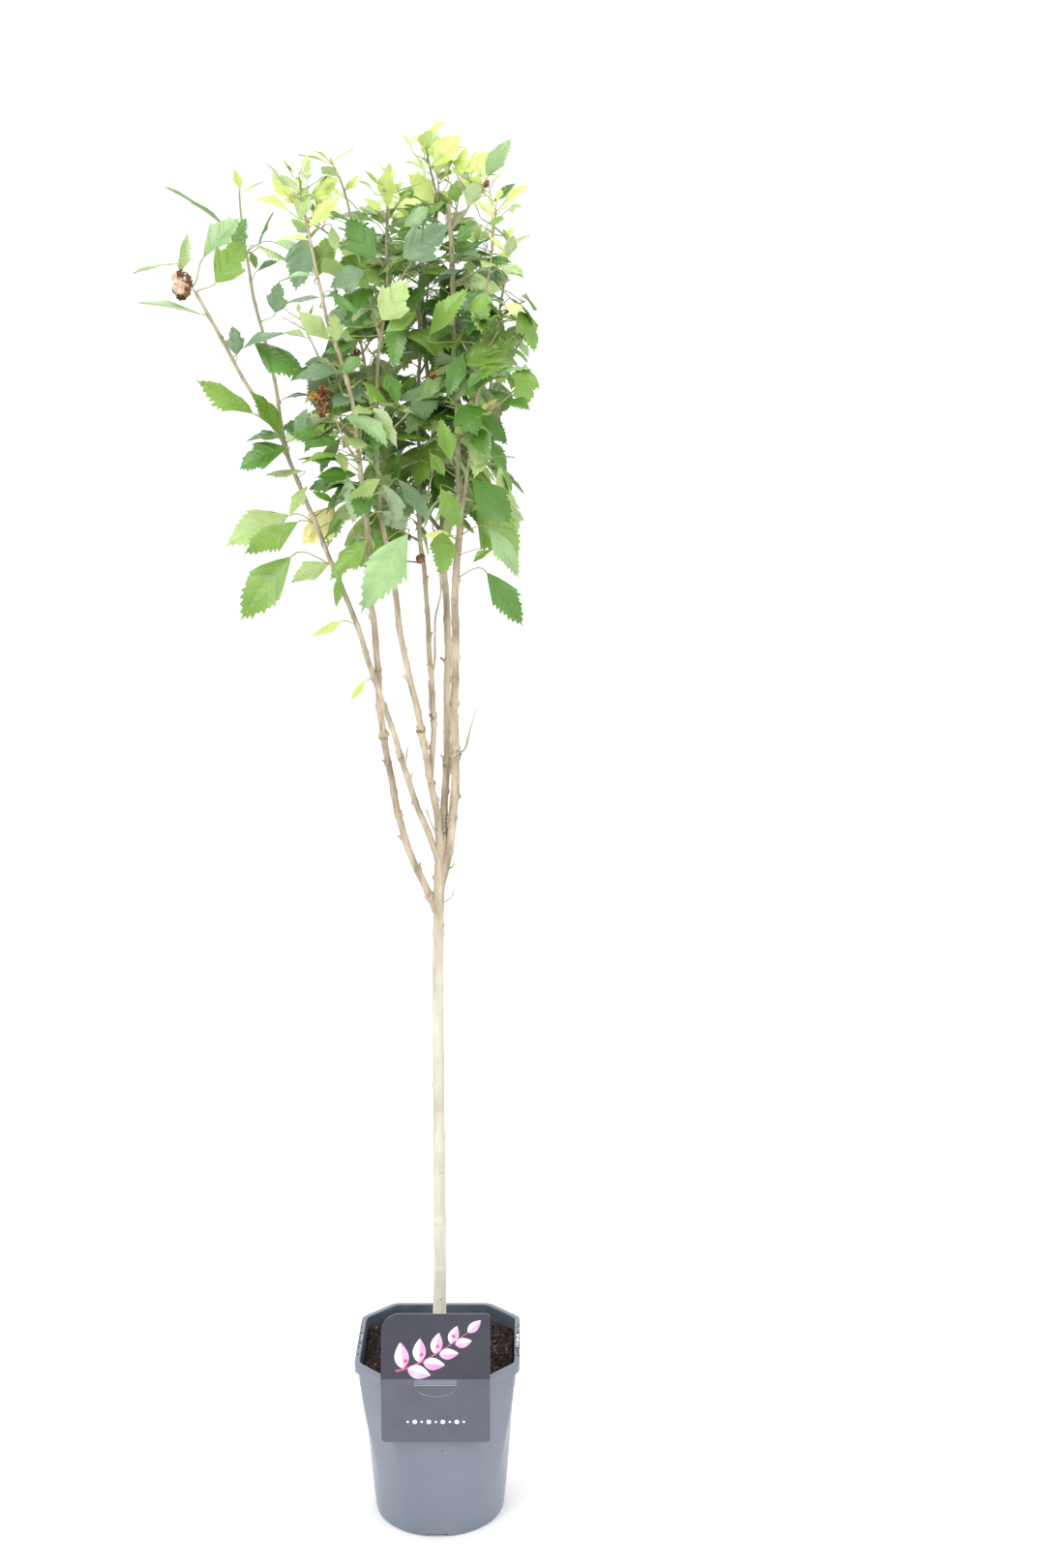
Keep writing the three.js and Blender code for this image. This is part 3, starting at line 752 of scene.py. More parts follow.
def spread(material, value, source, target):
    """A value carried over from one range to another."""
    (low, high), (first, last) = source, target
    ends = {"From_Min": low, "From_Max": high, "To_Min": first, "To_Max": last}
    return add_node(material, "MapRange", Value=value, **ends).outputs["Result"]


def mixed(material, share, first, second):
    mix = material.node_tree.nodes.new("ShaderNodeMix")
    mix.data_type = "RGBA"
    plug(material, mix, Factor=share, A=first, B=second)
    return mix.outputs["Result"]


def grained(name, dark, light, grain, roughness, relief, fine=None, stretch=(1, 1, 1), gloss=0.5):
    """A surface that wanders between two colours, with a finer grain in its relief."""
    material = bpy.data.materials.new(name)
    material.use_nodes = True
    place = add_node(material, "TexCoord").outputs["Object"]
    stretched = add_node(material, "Mapping", Vector=place, Scale=stretch).outputs["Vector"]
    wander = add_node(material, "TexNoise", Vector=stretched, Scale=grain, Detail=5).outputs["Fac"]
    fine = fine or grain * 5
    grains = add_node(material, "TexNoise", Vector=stretched, Scale=fine, Detail=4).outputs["Fac"]
    bump = add_node(material, "Bump", Height=grains, Strength=relief, Distance=MM).outputs["Normal"]
    rough = spread(material, wander, (0, 1), (roughness - ROUGHNESS_SWING, roughness + ROUGHNESS_SWING))
    plug(
        material,
        material.node_tree.nodes["Principled BSDF"],
        Base_Color=toned(material, wander, dark, light),
        Roughness=rough,
        Normal=bump,
        Specular_IOR_Level=gloss,
    )
    return material


def shade(colour, share):
    return tuple(value * share for value in colour)


def leaf_materials(tint):
    upper, under = TINTS[tint]
    top = grained(f"leaf_{tint}", shade(upper, 0.9), shade(upper, 1.07), 26, 0.36, 0.3, fine=500, gloss=0.6)
    below = grained(f"leaf_{tint}_under", shade(under, 0.95), shade(under, 1.04), 22, 0.6, 0.2, fine=700)
    return [top, below]


def vein_material(tint):
    """A little paler than the leaf round it."""
    upper, under = (np.array(colour) for colour in TINTS[tint])
    colour = upper * 0.62 + under * 0.38 + 4
    return grained(f"vein_{tint}", tuple(colour * 0.98), tuple(colour * 1.03), 90, 0.5, 0.05)


def bark(name, dark, light, speck, roughness=0.72, fades=()):
    """Young bark: streaks along the stem, and small pale breathing pores. Each of fades has two
    heights and the pair of colours that the streaks change to between them."""
    material = grained(name, dark, light, 110, roughness, 0.6, fine=800, stretch=(1, 1, 0.25), gloss=0.3)
    nodes = material.node_tree.nodes
    place = nodes["Texture Coordinate"].outputs["Object"]
    wander = nodes["Noise Texture"].outputs["Fac"]
    base = nodes["Principled BSDF"].inputs["Base Color"]
    streaks = base.links[0].from_socket
    for low, high, *pair in fades:
        height = add_node(material, "SeparateXYZ", Vector=place).outputs["Z"]
        rise = spread(material, height, (low * MM, high * MM), (0, 1))
        streaks = mixed(material, rise, streaks, toned(material, wander, *pair))
    pores = add_node(material, "TexVoronoi", Vector=place, Scale=380).outputs["Distance"]
    spots = spread(material, pores, (0.08, 0.22), (0.4, 0.0))
    material.node_tree.links.new(mixed(material, spots, streaks, linear(speck)), base)
    return material


# ---- Pot --------------------------------------------------------------------------------------


def wall_outline(height):
    """The wall's outer half width at a height, and how square it is there."""
    rise = height / POT_HEIGHT
    top = RIM_HALF_WIDTH - RIM_LEDGE
    half = FOOT_RADIUS + (top - FOOT_RADIUS) * max(rise, 0) ** POT_FLARE
    return half, smoothstep(rise, *SQUARING)


def pot_ring(height, half, square):
    """One level of the pot: a circle where square is 0, a square with cut corners where it is 1."""
    turn = circle(POT_SIDES)
    across, along = np.abs(np.cos(turn)), np.abs(np.sin(turn))
    corner = (across + along) / (1 + RIM_FLAT_HALF / RIM_HALF_WIDTH)
    power = CORNER_SHARPNESS
    reach = (across**power + along**power + corner**power) ** (-1 / power)
    radius = half * (1 + square * (reach - 1))
    return np.column_stack([radius * np.cos(turn), radius * np.sin(turn), np.full(POT_SIDES, height)])


def wall_ring(height, inset):
    half, square = wall_outline(height)
    return pot_ring(height, half - inset, square)


def pot_profile():
    """Rings up the outside, over the rim and down the inside. Those of the foot and the rim have
    a height and a half width, and those of the wall a height and how far in they stand."""
    top, rim = POT_HEIGHT, RIM_HALF_WIDTH
    under = top - POT_WALL
    skirt_foot = top - RIM_SKIRT
    skirt = rim - POT_WALL * 0.8
    foot = [(0, FOOT_RADIUS - 8), (0, FOOT_RADIUS - 2.2), (0.4, FOOT_RADIUS - 1.0)]
    outside = [(height, 0) for height in (1.6, 3, 8, *range(20, 156, 15), 166, COLLAR_HEIGHT - 0.8)]
    outside += [(height, -COLLAR_STEP) for height in (COLLAR_HEIGHT, 178, 186, under - 0.5)]
    outside += [(under, -1.1)]
    ledge = [(under, skirt - 0.4), (under - 0.5, skirt), (skirt_foot + 0.3, skirt)]
    ledge += [(skirt_foot, skirt + 0.3), (skirt_foot, rim - 0.3), (skirt_foot + 0.3, rim)]
    ledge += [(top - 4, rim), (top - 0.9, rim), (top - 0.25, rim - 0.25), (top, rim - 0.9), (top, rim - 3)]
    inside = [(top, POT_WALL - 0.7), (top - 0.3, POT_WALL - 0.15), (top - 1, POT_WALL)]
    inside += [(height, POT_WALL) for height in (190, 180, 165, 140, 110, 80, 50, 20, POT_FLOOR)]
    rings = [pot_ring(height, half, 0) for height, half in foot]
    rings += [wall_ring(*place) for place in outside]
    rings += [pot_ring(height, half, 1) for height, half in ledge]
    return rings + [wall_ring(*place) for place in inside]


def pot_gaps():
    """What is cut out of the pot: two slots through the ledge and four notches under the wall."""
    gaps = Heap()
    slot = np.array((SLOT_WIDTH / 2, SLOT_LENGTH / 2))
    for side in (-1, 1):
        middle = np.array((side * (RIM_HALF_WIDTH - SLOT_INSET), 0))
        gaps.add(*box_points((*(middle - slot), SLOT_CUT[0]), (*(middle + slot), SLOT_CUT[1])))
    half = NOTCH_WIDTH / 2
    low = (-half, -FOOT_RADIUS - NOTCH_SPARE, -2)
    for quarter in range(4):
        points, faces = box_points(low, (half, NOTCH_DEPTH - FOOT_RADIUS, NOTCH_HEIGHT))
        points[:, 0] *= np.where(points[:, 2] > 0, 1 - NOTCH_TAPER / NOTCH_WIDTH, 1)
        gaps.add(turned(points, quarter), faces)
    return gaps


def cut(target, heap):
    """Takes the heap's shapes out of the target's mesh for good."""
    cutter = placed("cutter", mesh_of("cutter", np.vstack(heap.points), heap.faces))
    modifier = target.modifiers.new("cut", "BOOLEAN")
    modifier.object = cutter
    modifier.operation = "DIFFERENCE"
    modifier.solver = "EXACT"
    cut_mesh = evaluated_mesh(target)
    target.modifiers.clear()
    target.data = cut_mesh
    bpy.data.objects.remove(cutter)


def build_pot(materials):
    points, faces = skin(pot_profile(), (0, 0, 0), (0, 0, POT_FLOOR))
    pot = piece("nursery_pot", points, faces, materials, "pot", ["pot"])
    cut(pot, pot_gaps())
    pot.data.set_sharp_from_angle(angle=POT_SHARP_ANGLE)
    # Faces that look inwards, inside the wall and above the notches, take the darker second material:
    # painted shade inside the pot.
    for polygon in pot.data.polygons:
        x, y, z = polygon.center / MM
        inward = x * polygon.normal.x + y * polygon.normal.y < 0
        if inward and max(abs(x), abs(y)) < RIM_HALF_WIDTH - RIM_LEDGE and z > NOTCH_HEIGHT + 0.5:
            polygon.material_index = 1


# ---- Soil -------------------------------------------------------------------------------------


def soil_height(x, y):
    reach = math.hypot(x, y) / SOIL_REACH
    bank = SOIL_BANK * min(reach, 1.1) ** 3 * (0.6 + 0.4 * math.sin(math.atan2(y, x) * 3 + 1))
    lumps = sum(rise * noise.noise(Vector((x / size, y / size, layer))) for rise, size, layer in SOIL_LUMPS)
    return SOIL_TOP - 0.5 + bank + lumps


def build_soil(material):
    floor = POT_FLOOR + SOIL_GAP
    rings = [wall_ring(height, POT_WALL + SOIL_GAP) for height in (floor, 45, 85, 120, 150, 174)]
    edge = rings[-1]
    for share in np.linspace(0.995, 0.02, 40):
        ring = edge * share
        ring[:, 2] = [soil_height(x, y) for x, y, _ in ring]
        rings.append(ring)
    points, faces = skin(rings, (0, 0, floor), (0, 0, soil_height(0, 0)))
    piece("compost", points, faces, [material], "compost", ["soil"])


def build_chips(materials):
    """Bark chips and crumbs, strewn over the soil and banked up against the wall."""
    rng = draws("chips")
    heap = Heap()
    made = 0
    while made < CHIP_COUNT:
        x, y = rng.uniform(-SOIL_REACH, SOIL_REACH, 2)
        outer = max(abs(x), abs(y), (abs(x) + abs(y)) / CHIP_CORNER)
        if outer > CHIP_REACH or math.hypot(x, y) < CHIP_CLEAR:
            continue
        long = rng.uniform(*(CHIP_LENGTHS[:2] if rng.random() < SMALL_CHIPS else CHIP_LENGTHS[1:]))
        size = np.array([long, max(long * rng.uniform(0.12, 0.42), 0.8), rng.uniform(0.6, 1.6)])
        points, faces = box_points((-0.5, -0.5, -0.5), (0.5, 0.5, 0.5))
        points = (points + rng.uniform(-0.16, 0.16, points.shape)) * size
        tilt = Vector((rng.normal(0, 0.5), rng.normal(0, 0.5), 1)).to_track_quat("Z", "Y").to_matrix()
        points = turned(points, rng.uniform(0, 2 * math.pi) / (math.pi / 2)) @ np.array(tilt).T
        points += (x, y, soil_height(x, y) + rng.uniform(-0.2, 1.3))
        heap.add(points, faces, int(rng.choice(len(materials), p=CHIP_SHARES)))
        made += 1
    heap_piece("bark_chips", heap, materials, "compost", smooth=False)


def build_crumbs(material):
    """A few crumbs of soil left on the ledge and the wall."""
    rng = draws("crumbs")
    heap = Heap()
    for _ in range(LEDGE_CRUMBS):
        side = rng.choice((1, 1, 1, -1))
        place = np.array((side * rng.uniform(*LEDGE_SPAN), rng.normal(-14, 26), POT_HEIGHT + 0.35))
        if abs(place[1]) < RIM_FLAT_HALF - 2:
            heap.add(*lump(place, rng.uniform(0.35, 1.1, 3), rng))
    for turn, height in WALL_CRUMBS:
        ring = wall_ring(height, -0.2)
        index = round(turn / 360 * POT_SIDES) % POT_SIDES
        heap.add(*lump(ring[index], rng.uniform(0.4, 0.9, 3), rng))
    heap_piece("soil_crumbs", heap, [material], "compost")


# ---- Tag --------------------------------------------------------------------------------------
# The card is laid out flat, u across and v up it in millimetres from its lower edge, then bent.


def bent(u, v, depth):
    """A place on the card: depth is 0 on its front face and grows behind it."""
    past = min(max(v - CREASE_V + BEND_SPAN / 2, 0), BEND_SPAN)
    c, s = math.cos(past / BEND_RADIUS), math.sin(past / BEND_RADIUS)
    before = min(v, CREASE_V - BEND_SPAN / 2)
    after = max(v - CREASE_V - BEND_SPAN / 2, 0)
    y = TAG_FRONT + BEND_RADIUS * (1 - c) + after * s + depth * c
    z = TAG_BOTTOM + before + BEND_RADIUS * s + after * c - depth * s
    return u, y, z


def rounded_card():
    """The card's outline, anticlockwise from its lower right corner."""
    half = TAG_WIDTH / 2
    small, big = TAG_SMALL_CORNER, TAG_BIG_CORNER
    corners = [
        (half - small, small, small, -90),
        (half - small, CARD_TOP_V - small, small, 0),
        (big - half, CARD_TOP_V - big, big, 90),
        (small - half, small, small, 180),
    ]
    outline = []
    for u, v, radius, start in corners:
        steps = 8 if radius == small else 20
        for step in range(steps + 1):
            angle = math.radians(start + 90 * step / steps)
            outline.append((u + radius * math.cos(angle), v + radius * math.sin(angle)))
    return outline


def half_moon(grow):
    """The flap's outline, anticlockwise, drawn larger or smaller by grow."""
    top = FLAP_TOP - TAG_BOTTOM + grow
    steps = 26
    outline = []
    for step in range(steps + 1):
        angle = math.pi + math.pi * step / steps
        u = (FLAP_HALF_WIDTH + grow) * math.cos(angle)
        outline.append((u, top + (FLAP_DEPTH + grow * 2) * math.sin(angle)))
    return outline


def flat_sheet(outlines):
    """The area within the first outline and outside any other, cut across where the card bends."""
    curve = bpy.data.curves.new("plate", "CURVE")
    curve.dimensions = "2D"
    curve.fill_mode = "BOTH"
    for outline in outlines:
        spline = curve.splines.new("POLY")
        spline.points.add(len(outline) - 1)
        for place, (u, v) in zip(spline.points, outline):
            place.co = (u, v, 0, 1)
        spline.use_cyclic_u = True
    holder = placed("plate", curve)
    sheet = bmesh.new()
    sheet.from_mesh(evaluated_mesh(holder))
    bpy.data.objects.remove(holder)
    bmesh.ops.remove_doubles(sheet, verts=sheet.verts, dist=0.001)
    for level in BEND_LEVELS:
        everything = sheet.verts[:] + sheet.edges[:] + sheet.faces[:]
        plane = {"plane_co": (0, level, 0), "plane_no": (0, 1, 0)}
        bmesh.ops.bisect_plane(sheet, geom=everything, dist=0.0001, **plane)
    bmesh.ops.recalc_face_normals(sheet, faces=sheet.faces)
    sheet.verts.index_update()
    if sum(face.normal.z for face in sheet.faces) < 0:
        bmesh.ops.reverse_faces(sheet, faces=sheet.faces)
    return sheet


def card_plate(outlines, front, depth):
    """A thin plate that bends with the card: its points, the faces of its front and back, those
    round its edge, and how far up the card the middles of the front's faces are."""
    sheet = flat_sheet(outlines)
    places = [(v.co.x, v.co.y) for v in sheet.verts]
    count = len(places)
    points = [bent(u, v, front) for u, v in places] + [bent(u, v, front + depth) for u, v in places]
    faces = [tuple(v.index for v in face.verts) for face in sheet.faces]
    faces += [tuple(v.index + count for v in reversed(face.verts)) for face in sheet.faces]
    middles = [face.calc_center_median().y for face in sheet.faces]
    edges = []
    for edge in sheet.edges:
        if len(edge.link_faces) == 1:
            loop = edge.link_loops[0]
            a, b = loop.vert.index, loop.link_loop_next.vert.index
            edges.append((b, a, a + count, b + count))
    sheet.free()
    return np.array(points), faces, edges, middles


def build_tag(card_materials, prints):
    """The bent card with its flap cut free, and the print on it. Its upper part is painted darker as shade
    and its lower part lighter as painted glare.
    """
    card = Heap()
    half = FLAP_HALF_WIDTH + FLAP_SLIT
    hole = half_moon(FLAP_SLIT) + [(half, CREASE_V), (-half, CREASE_V)]
    for outlines in ([rounded_card(), hole], [half_moon(-FLAP_TRIM)]):
        points, faces, edges, middles = card_plate(outlines, 0, TAG_THICKNESS)
        # above the crease the card takes the darker copy of its colour, painted shade; below it the lighter
        # copy, painted glare
        marks = [0 if v > CREASE_V else 1 for v in middles] * 2
        card.add(points, faces + edges, marks + [2] * len(edges))
    heap_piece("plant_tag", card, card_materials, "tag", ["tag"], smooth=False)
    art = Heap()
    for outline, ink, layer in sprig_shapes():
        lift = PRINT_LIFT * layer
        points, faces, edges, _ = card_plate([outline], -lift, lift)
        art.add(points, faces + edges, ink)
    heap_piece("tag_print", art, prints, "tag", smooth=False)


def leaf_shape(foot, direction, length, width, sides=(-1, 1)):
    """A plain pointed leaf outline on the card, or one half of it."""
    angle = math.radians(direction)
    along = (math.cos(angle), math.sin(angle))
    across = (-along[1], along[0])
    steps = 12
    outline = []
    for side, shares in ((sides[0], range(steps)), (sides[1], range(steps, 0, -1))):
        for step in shares:
            share = step / steps
            swell = math.sin(math.pi * share**0.8) ** 0.9 * width / 2 * side
            forward = share * length
            outline.append((foot[0] + along[0] * forward + across[0] * swell,
                            foot[1] + along[1] * forward + across[1] * swell))
    return outline


def two_toned_leaf(*shape):
    """A printed leaf, with its left half in a second ink over it."""
    return [(leaf_shape(*shape), 0, 1), (leaf_shape(*shape, (0, 1)), 1, 2)]


def disc_shape(middle, radius):
    turns = [2 * math.pi * step / 18 for step in range(18)]
    return [(middle[0] + radius * math.cos(turn), middle[1] + radius * math.sin(turn)) for turn in turns]


def sprig_shapes():
    """A plain printed sprig with two-toned leaves and berries, over a row of dots: outline, ink
    and layer."""

    def on_stalk(share):
        return (STALK_FOOT[0] + STALK_LENGTH * share, STALK_FOOT[1] + STALK_RISE * share**1.4)

    upper, lower = [], []
    for share in [step / 20 for step in range(21)]:
        u, v = on_stalk(share)
        half = 1.1 - 0.6 * share
        upper.append((u, v + half))
        lower.append((u, v - half))
    shapes = [(lower + upper[::-1], 2, 1)]
    for order, share in enumerate((0.1, 0.32, 0.54, 0.76)):
        u, v = on_stalk(share)
        size = 28 - order * 2.6
        for start, direction, length in (((u, v + 1), 96 - order * 9, size),
                                         ((u + 5, v), -14 + order * 9, size * 0.92)):
            shapes += two_toned_leaf(start, direction, length, length * 0.56)
        shapes.append((disc_shape((u + 3, v + 9), 2.0), 2, 3))
    shapes += two_toned_leaf(on_stalk(1.0), 42, 19, 10)
    for order in range(9):
        shapes.append((disc_shape(((order - 4) * 7.6, 24), 1.3 + 1.2 * (order % 2)), 3, 1))
    return shapes


# ---- Trunk and stems --------------------------------------------------------------------------


class Stem:
    """A line with a thickness. Distances along it are in millimetres from its first point."""

    def __init__(self, points, radii):
        self.points = points
        self.radii = radii
        self.along = distances(points)
        self.tangents, self.across, self.over = frames(points)
        self.length = self.along[-1]

    def at(self, distance):
        """The point, direction and radius there."""
        point = rows_at(distance, self.along, self.points)
        tangent = unit(rows_at(distance, self.along, self.tangents))
        return point, tangent, float(np.interp(distance, self.along, self.radii))

    def outward(self, distance, angle):
        """The way straight out of the stem at an angle round it."""
        index = int(np.searchsorted(self.along, distance).clip(0, len(self.points) - 1))
        return self.across[index] * math.cos(angle) + self.over[index] * math.sin(angle)

    def distance_at_height(self, height):
        return float(np.interp(height, self.points[:, 2], self.along))


def tapering(line, thick):
    """A stem along a line, between two diameters."""
    return Stem(line, np.linspace(thick[0], thick[1], len(line)) / 2)


def stem_of(plan, rng):
    """A bough from inside its parent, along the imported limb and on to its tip, and how far along
    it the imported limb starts."""
    points = through([*plan["root"], *bezier(plan["bend"], 9), *plan["onward"]], RING_STEP)
    along = distances(points)
    foot_at, enters = (float(np.interp(plan["bend"][end][2], points[:, 2], along)) for end in (0, 3))
    foot, mid, tip = (value / 2 for value in plan["thick"])
    radii = np.interp(along, [0, foot_at, enters, along[-1]], [foot * 0.75, foot, mid, tip])
    radii *= 1 + FORK_SWELLING * np.exp(-np.abs(along - foot_at) / FORK_REACH)
    if not plan.get("blunt"):
        radii *= np.clip((along[-1] - along) / TIP_TAPER, 0.35, 1)
    fade = np.clip((along - foot_at) / WAVE_FROM, 0, 1)
    points[:, 0] += (0.7 * np.sin(along / 21 + rng.uniform(0, 6)) + 0.3 * np.sin(along / 9)) * fade
    points[:, 1] += (0.7 * np.sin(along / 17 + rng.uniform(0, 6)) + 0.3 * np.cos(along / 8)) * fade
    return Stem(points, radii), foot_at


def nodes_along(stem, rng, spacing, start):
    """Where the leaves sat: distance along the stem, angle round it and size."""
    places = []
    turn = rng.uniform(0, 2 * math.pi)
    place = start + rng.uniform(0, spacing)
    while place < stem.length - 6:
        places.append((place, turn % (2 * math.pi), rng.uniform(0.6, 1.3)))
        place += spacing * rng.uniform(0.7, 1.35)
        turn += GOLDEN_TURN
    return places


def rough_skin(rings, turn, step, reach, shift):
    """Noise over a stem's rings. step is its size along them and reach how much it changes round
    them, and shift moves to another part of it."""

    def value(ring, angle):
        across, over = math.cos(angle) * reach + shift[0], math.sin(angle) * reach + shift[1]
        return noise.noise(Vector((ring / step, across, over)))

    return np.array([[value(ring, angle) for angle in turn] for ring in range(rings)])


def bark_radii(stem, sides, nodes, rng, knots=(), ridge=0.03, lumps=0.06):
    """Each ring's radii: flutes along the stem, a swelling at each node with the leaf's scar on
    one side of it, and knobbly knots where twigs were cut away."""
    turn = circle(sides)
    along = stem.along[:, None]
    seed = rng.uniform(0, 90)
    rings = len(stem.points)
    shape = 1 + ridge * (np.sin(3 * turn + along / 60 + seed) + 0.6 * np.sin(5 * turn - along / 35))
    shape = shape + lumps * rough_skin(rings, turn, 3.1, 1.6, (seed, 0))
    coarse = rough_skin(rings, turn, 1.3, 2.6, (0, seed))
    for place, angle, size in nodes:
        near = bell(along - place, 2.8)
        side = bell(np.angle(np.exp(1j * (turn - angle))), 0.75)
        scar = bell(along - place + 3.4, 1.2)
        shape = shape + near * (0.13 + 0.42 * side) * size - scar * side * 0.14 * size
    for height, size in knots:
        near = bell(along - stem.distance_at_height(height), 2.2 + 1.2 * size)
        shape = shape + near * size * (0.13 + 0.34 * coarse)
    return stem.radii[:, None] * shape


def build_knots(trunk, stems, materials):
    """Rough scabs where twigs were cut away, and small dark ones at some of the nodes."""
    rng = draws("knots")
    heap = Heap()
    places = [(trunk, height, size) for height, size in TRUNK_SCARS]
    for name, stem in stems.items():
        plan = STEMS[name]
        places += [(stem, height, size) for height, size in plan.get("knots", ())]
        bare = plan["leafy"] or BARE_TOP
        low = plan["bend"][0][2] + 20
        if bare > low:
            places += [(stem, height, 0.12) for height in rng.uniform(low, bare, round((bare - low) / 45))]
    for stem, height, size in places:
        middle = stem.distance_at_height(height)
        for _ in range(1 + round(5.5 * size)):
            at = middle + rng.normal(0, 0.3 + 0.75 * size)
            point, _, radius = stem.at(at)
            out = stem.outward(at, rng.uniform(0, 2 * math.pi))
            wide = rng.uniform(0.5, 0.95) * (0.7 + 0.55 * size)
            scab = lump(point + out * radius * (1 + 0.05 * size), wide * rng.uniform(0.7, 1.3, 3), rng)
            heap.add(*scab, int(rng.random() < 0.3))
    heap_piece("knots", heap, materials, "bark")


def build_trunk(material):
    """The trunk, flaring into the soil, with a rounded end inside the fork of the boughs."""
    rng = draws("trunk")
    points = resample(bezier(TRUNK_BEND, 200), TRUNK_RING_STEP)
    share = np.linspace(0, 1, len(points))
    height = points[:, 2] - TRUNK_BEND[0][2]
    radii = TRUNK_RADII[0] + (TRUNK_RADII[1] - TRUNK_RADII[0]) * share**0.6
    to_top = TRUNK_BEND[3][2] - points[:, 2]
    radii -= 0.8 * bell(to_top, 22)
    radii *= np.sqrt(np.clip((to_top + 0.8) / 4, 0.1, 1))
    trunk = Stem(points, radii)
    turn = circle(TRUNK_SIDES)
    nodes = nodes_along(trunk, rng, spacing=75, start=60)
    shaped = bark_radii(trunk, TRUNK_SIDES, nodes, rng, ridge=0.02, lumps=0.035)
    plain = radii[:, None] * (1 + 0.02 * np.sin(3 * turn))
    shaped = plain + (shaped - plain) * 0.5
    flare = ROOT_FLARE * np.exp(-height / FLARE_HEIGHT)[:, None]
    shaped = shaped + flare * (1 + 0.35 * np.sin(3 * turn + 1.1) + 0.2 * np.sin(5 * turn))
    piece("trunk_bark", *tube(points, shaped, TRUNK_SIDES), [material], "bark", ["trunk"])
    return trunk


def build_boughs(materials):
    """One bark-covered limb for each packed bough, carried on to its tip, and greener higher up, where its
    light streaks are darker as painted shade of the leaves.
    """
    stems = {}
    snags = Heap()
    for order, (name, plan) in enumerate(STEMS.items()):
        rng = draws("boughs", order)
        stem, foot_at = stem_of(plan, rng)
        nodes = nodes_along(stem, rng, spacing=30, start=foot_at + 14)
        shaped = bark_radii(stem, BOUGH_SIDES, nodes, rng, plan.get("knots", ()))
        points, faces = tube(stem.points, shaped, BOUGH_SIDES)
        heights = np.array([points[list(face[:2]), 2].mean() for face in faces])
        green = stem.points[-1][2] - heights < plan.get("green", GREEN_TIP)
        # higher up, the greener young bark whose light tone is darkened as painted shade of the leaves
        marks = np.where(green, 2, np.where(heights > GREEN_SHADED_BARK_FROM, 1, 0)).tolist()
        piece(name + "_bark", points, faces, materials, "bark", [name], marks)
        bare = stem.distance_at_height(plan["leafy"] or SNAG_TOP)
        for place, angle, size in nodes:
            if place < bare:
                add_snag(snags, stem, place, angle, size, rng)
        stems[name] = stem
    for route, thick in DRY_TWIGS:
        line = through(route, 1.6)
        line[:, 1] += 0.3 * np.sin(np.arange(len(line)) / 1.7)
        rng = np.random.default_rng(len(line))
        cover(snags, tapering(line, thick), rng, spacing=9, start=5)
    heap_piece("snags", snags, [materials[0]], "bark")
    return stems


def cover(heap, stem, rng, mark=0, spacing=14, start=4):
    """Adds a twig's skin, with its nodes, to a heap."""
    nodes = nodes_along(stem, rng, spacing, start)
    heap.add(*tube(stem.points, bark_radii(stem, TWIG_SIDES, nodes, rng), TWIG_SIDES), mark)


def add_snag(snags, stem, place, angle, size, rng):
    """A bud, or the stub of a twig that was cut, at a node of a bare bough."""
    point, tangent, radius = stem.at(place)
    out = stem.outward(place, angle)
    stub = rng.random() < 0.4
    length = rng.uniform(3, 7) if stub else rng.uniform(1.2, 2.4) * size
    start = point + out * radius * 0.7
    way = unit(out * (0.9 if stub else 0.6) + tangent * rng.uniform(0.5, 1.2))
    end = start + way * (length + 1) + tangent * 0.4
    line = through([start, start + way * (length * 0.6 + 1), end], 0.9)
    thick = rng.uniform(0.85, 1.2) if stub else 1.1
    ends = np.linspace(1.25, 0.85 if stub else 0.35, len(line))
    snags.add(*tube(line, thick * ends, TWIG_SIDES))


# ---- Leaves -----------------------------------------------------------------------------------
# A blade's points are the foot, the tip, and then, row by row, the midrib with its right and its
# left columns. The under skin's follow the upper skin's.

COLUMNS = len(COLUMN_SHARES)
PER_ROW = 1 + 2 * COLUMNS
ROW_COUNT = 2 + 2 * TOOTH_COUNT
ROWS = 2 + np.arange(ROW_COUNT) * PER_ROW  # the midrib's points
BLADE_POINTS = 2 + ROW_COUNT * PER_ROW


def blade_faces():
    """The upper skin's faces."""
    last = ROW_COUNT - 1

    def right(row, column):
        return 2 + row * PER_ROW + column

    def left(row, column):
        return 2 + row * PER_ROW + (COLUMNS + column if column else 0)

    faces = []
    for column in range(COLUMNS):
        faces.append((0, right(0, column + 1), right(0, column)))
        faces.append((0, left(0, column), left(0, column + 1)))
        faces.append((right(last, column), right(last, column + 1), 1))
        faces.append((left(last, column + 1), left(last, column), 1))
        for row in range(last):
            for side in (right, left):
                low, out = side(row, column), side(row, column + 1)
                high, far = side(row + 1, column), side(row + 1, column + 1)
                halves = ((low, out, high), (out, far, high))
                faces += halves if side is right else [half[::-1] for half in halves]
    return faces


UPPER_FACES = blade_faces()
UNDER_FACES = [tuple(corner + BLADE_POINTS for corner in reversed(face)) for face in UPPER_FACES]
BLADE_MARKS = [0] * len(UPPER_FACES) + [1] * len(UNDER_FACES)
EDGE = np.zeros(BLADE_POINTS, bool)
EDGE[[0, 1, *(ROWS + COLUMNS), *(ROWS + 2 * COLUMNS)]] = True


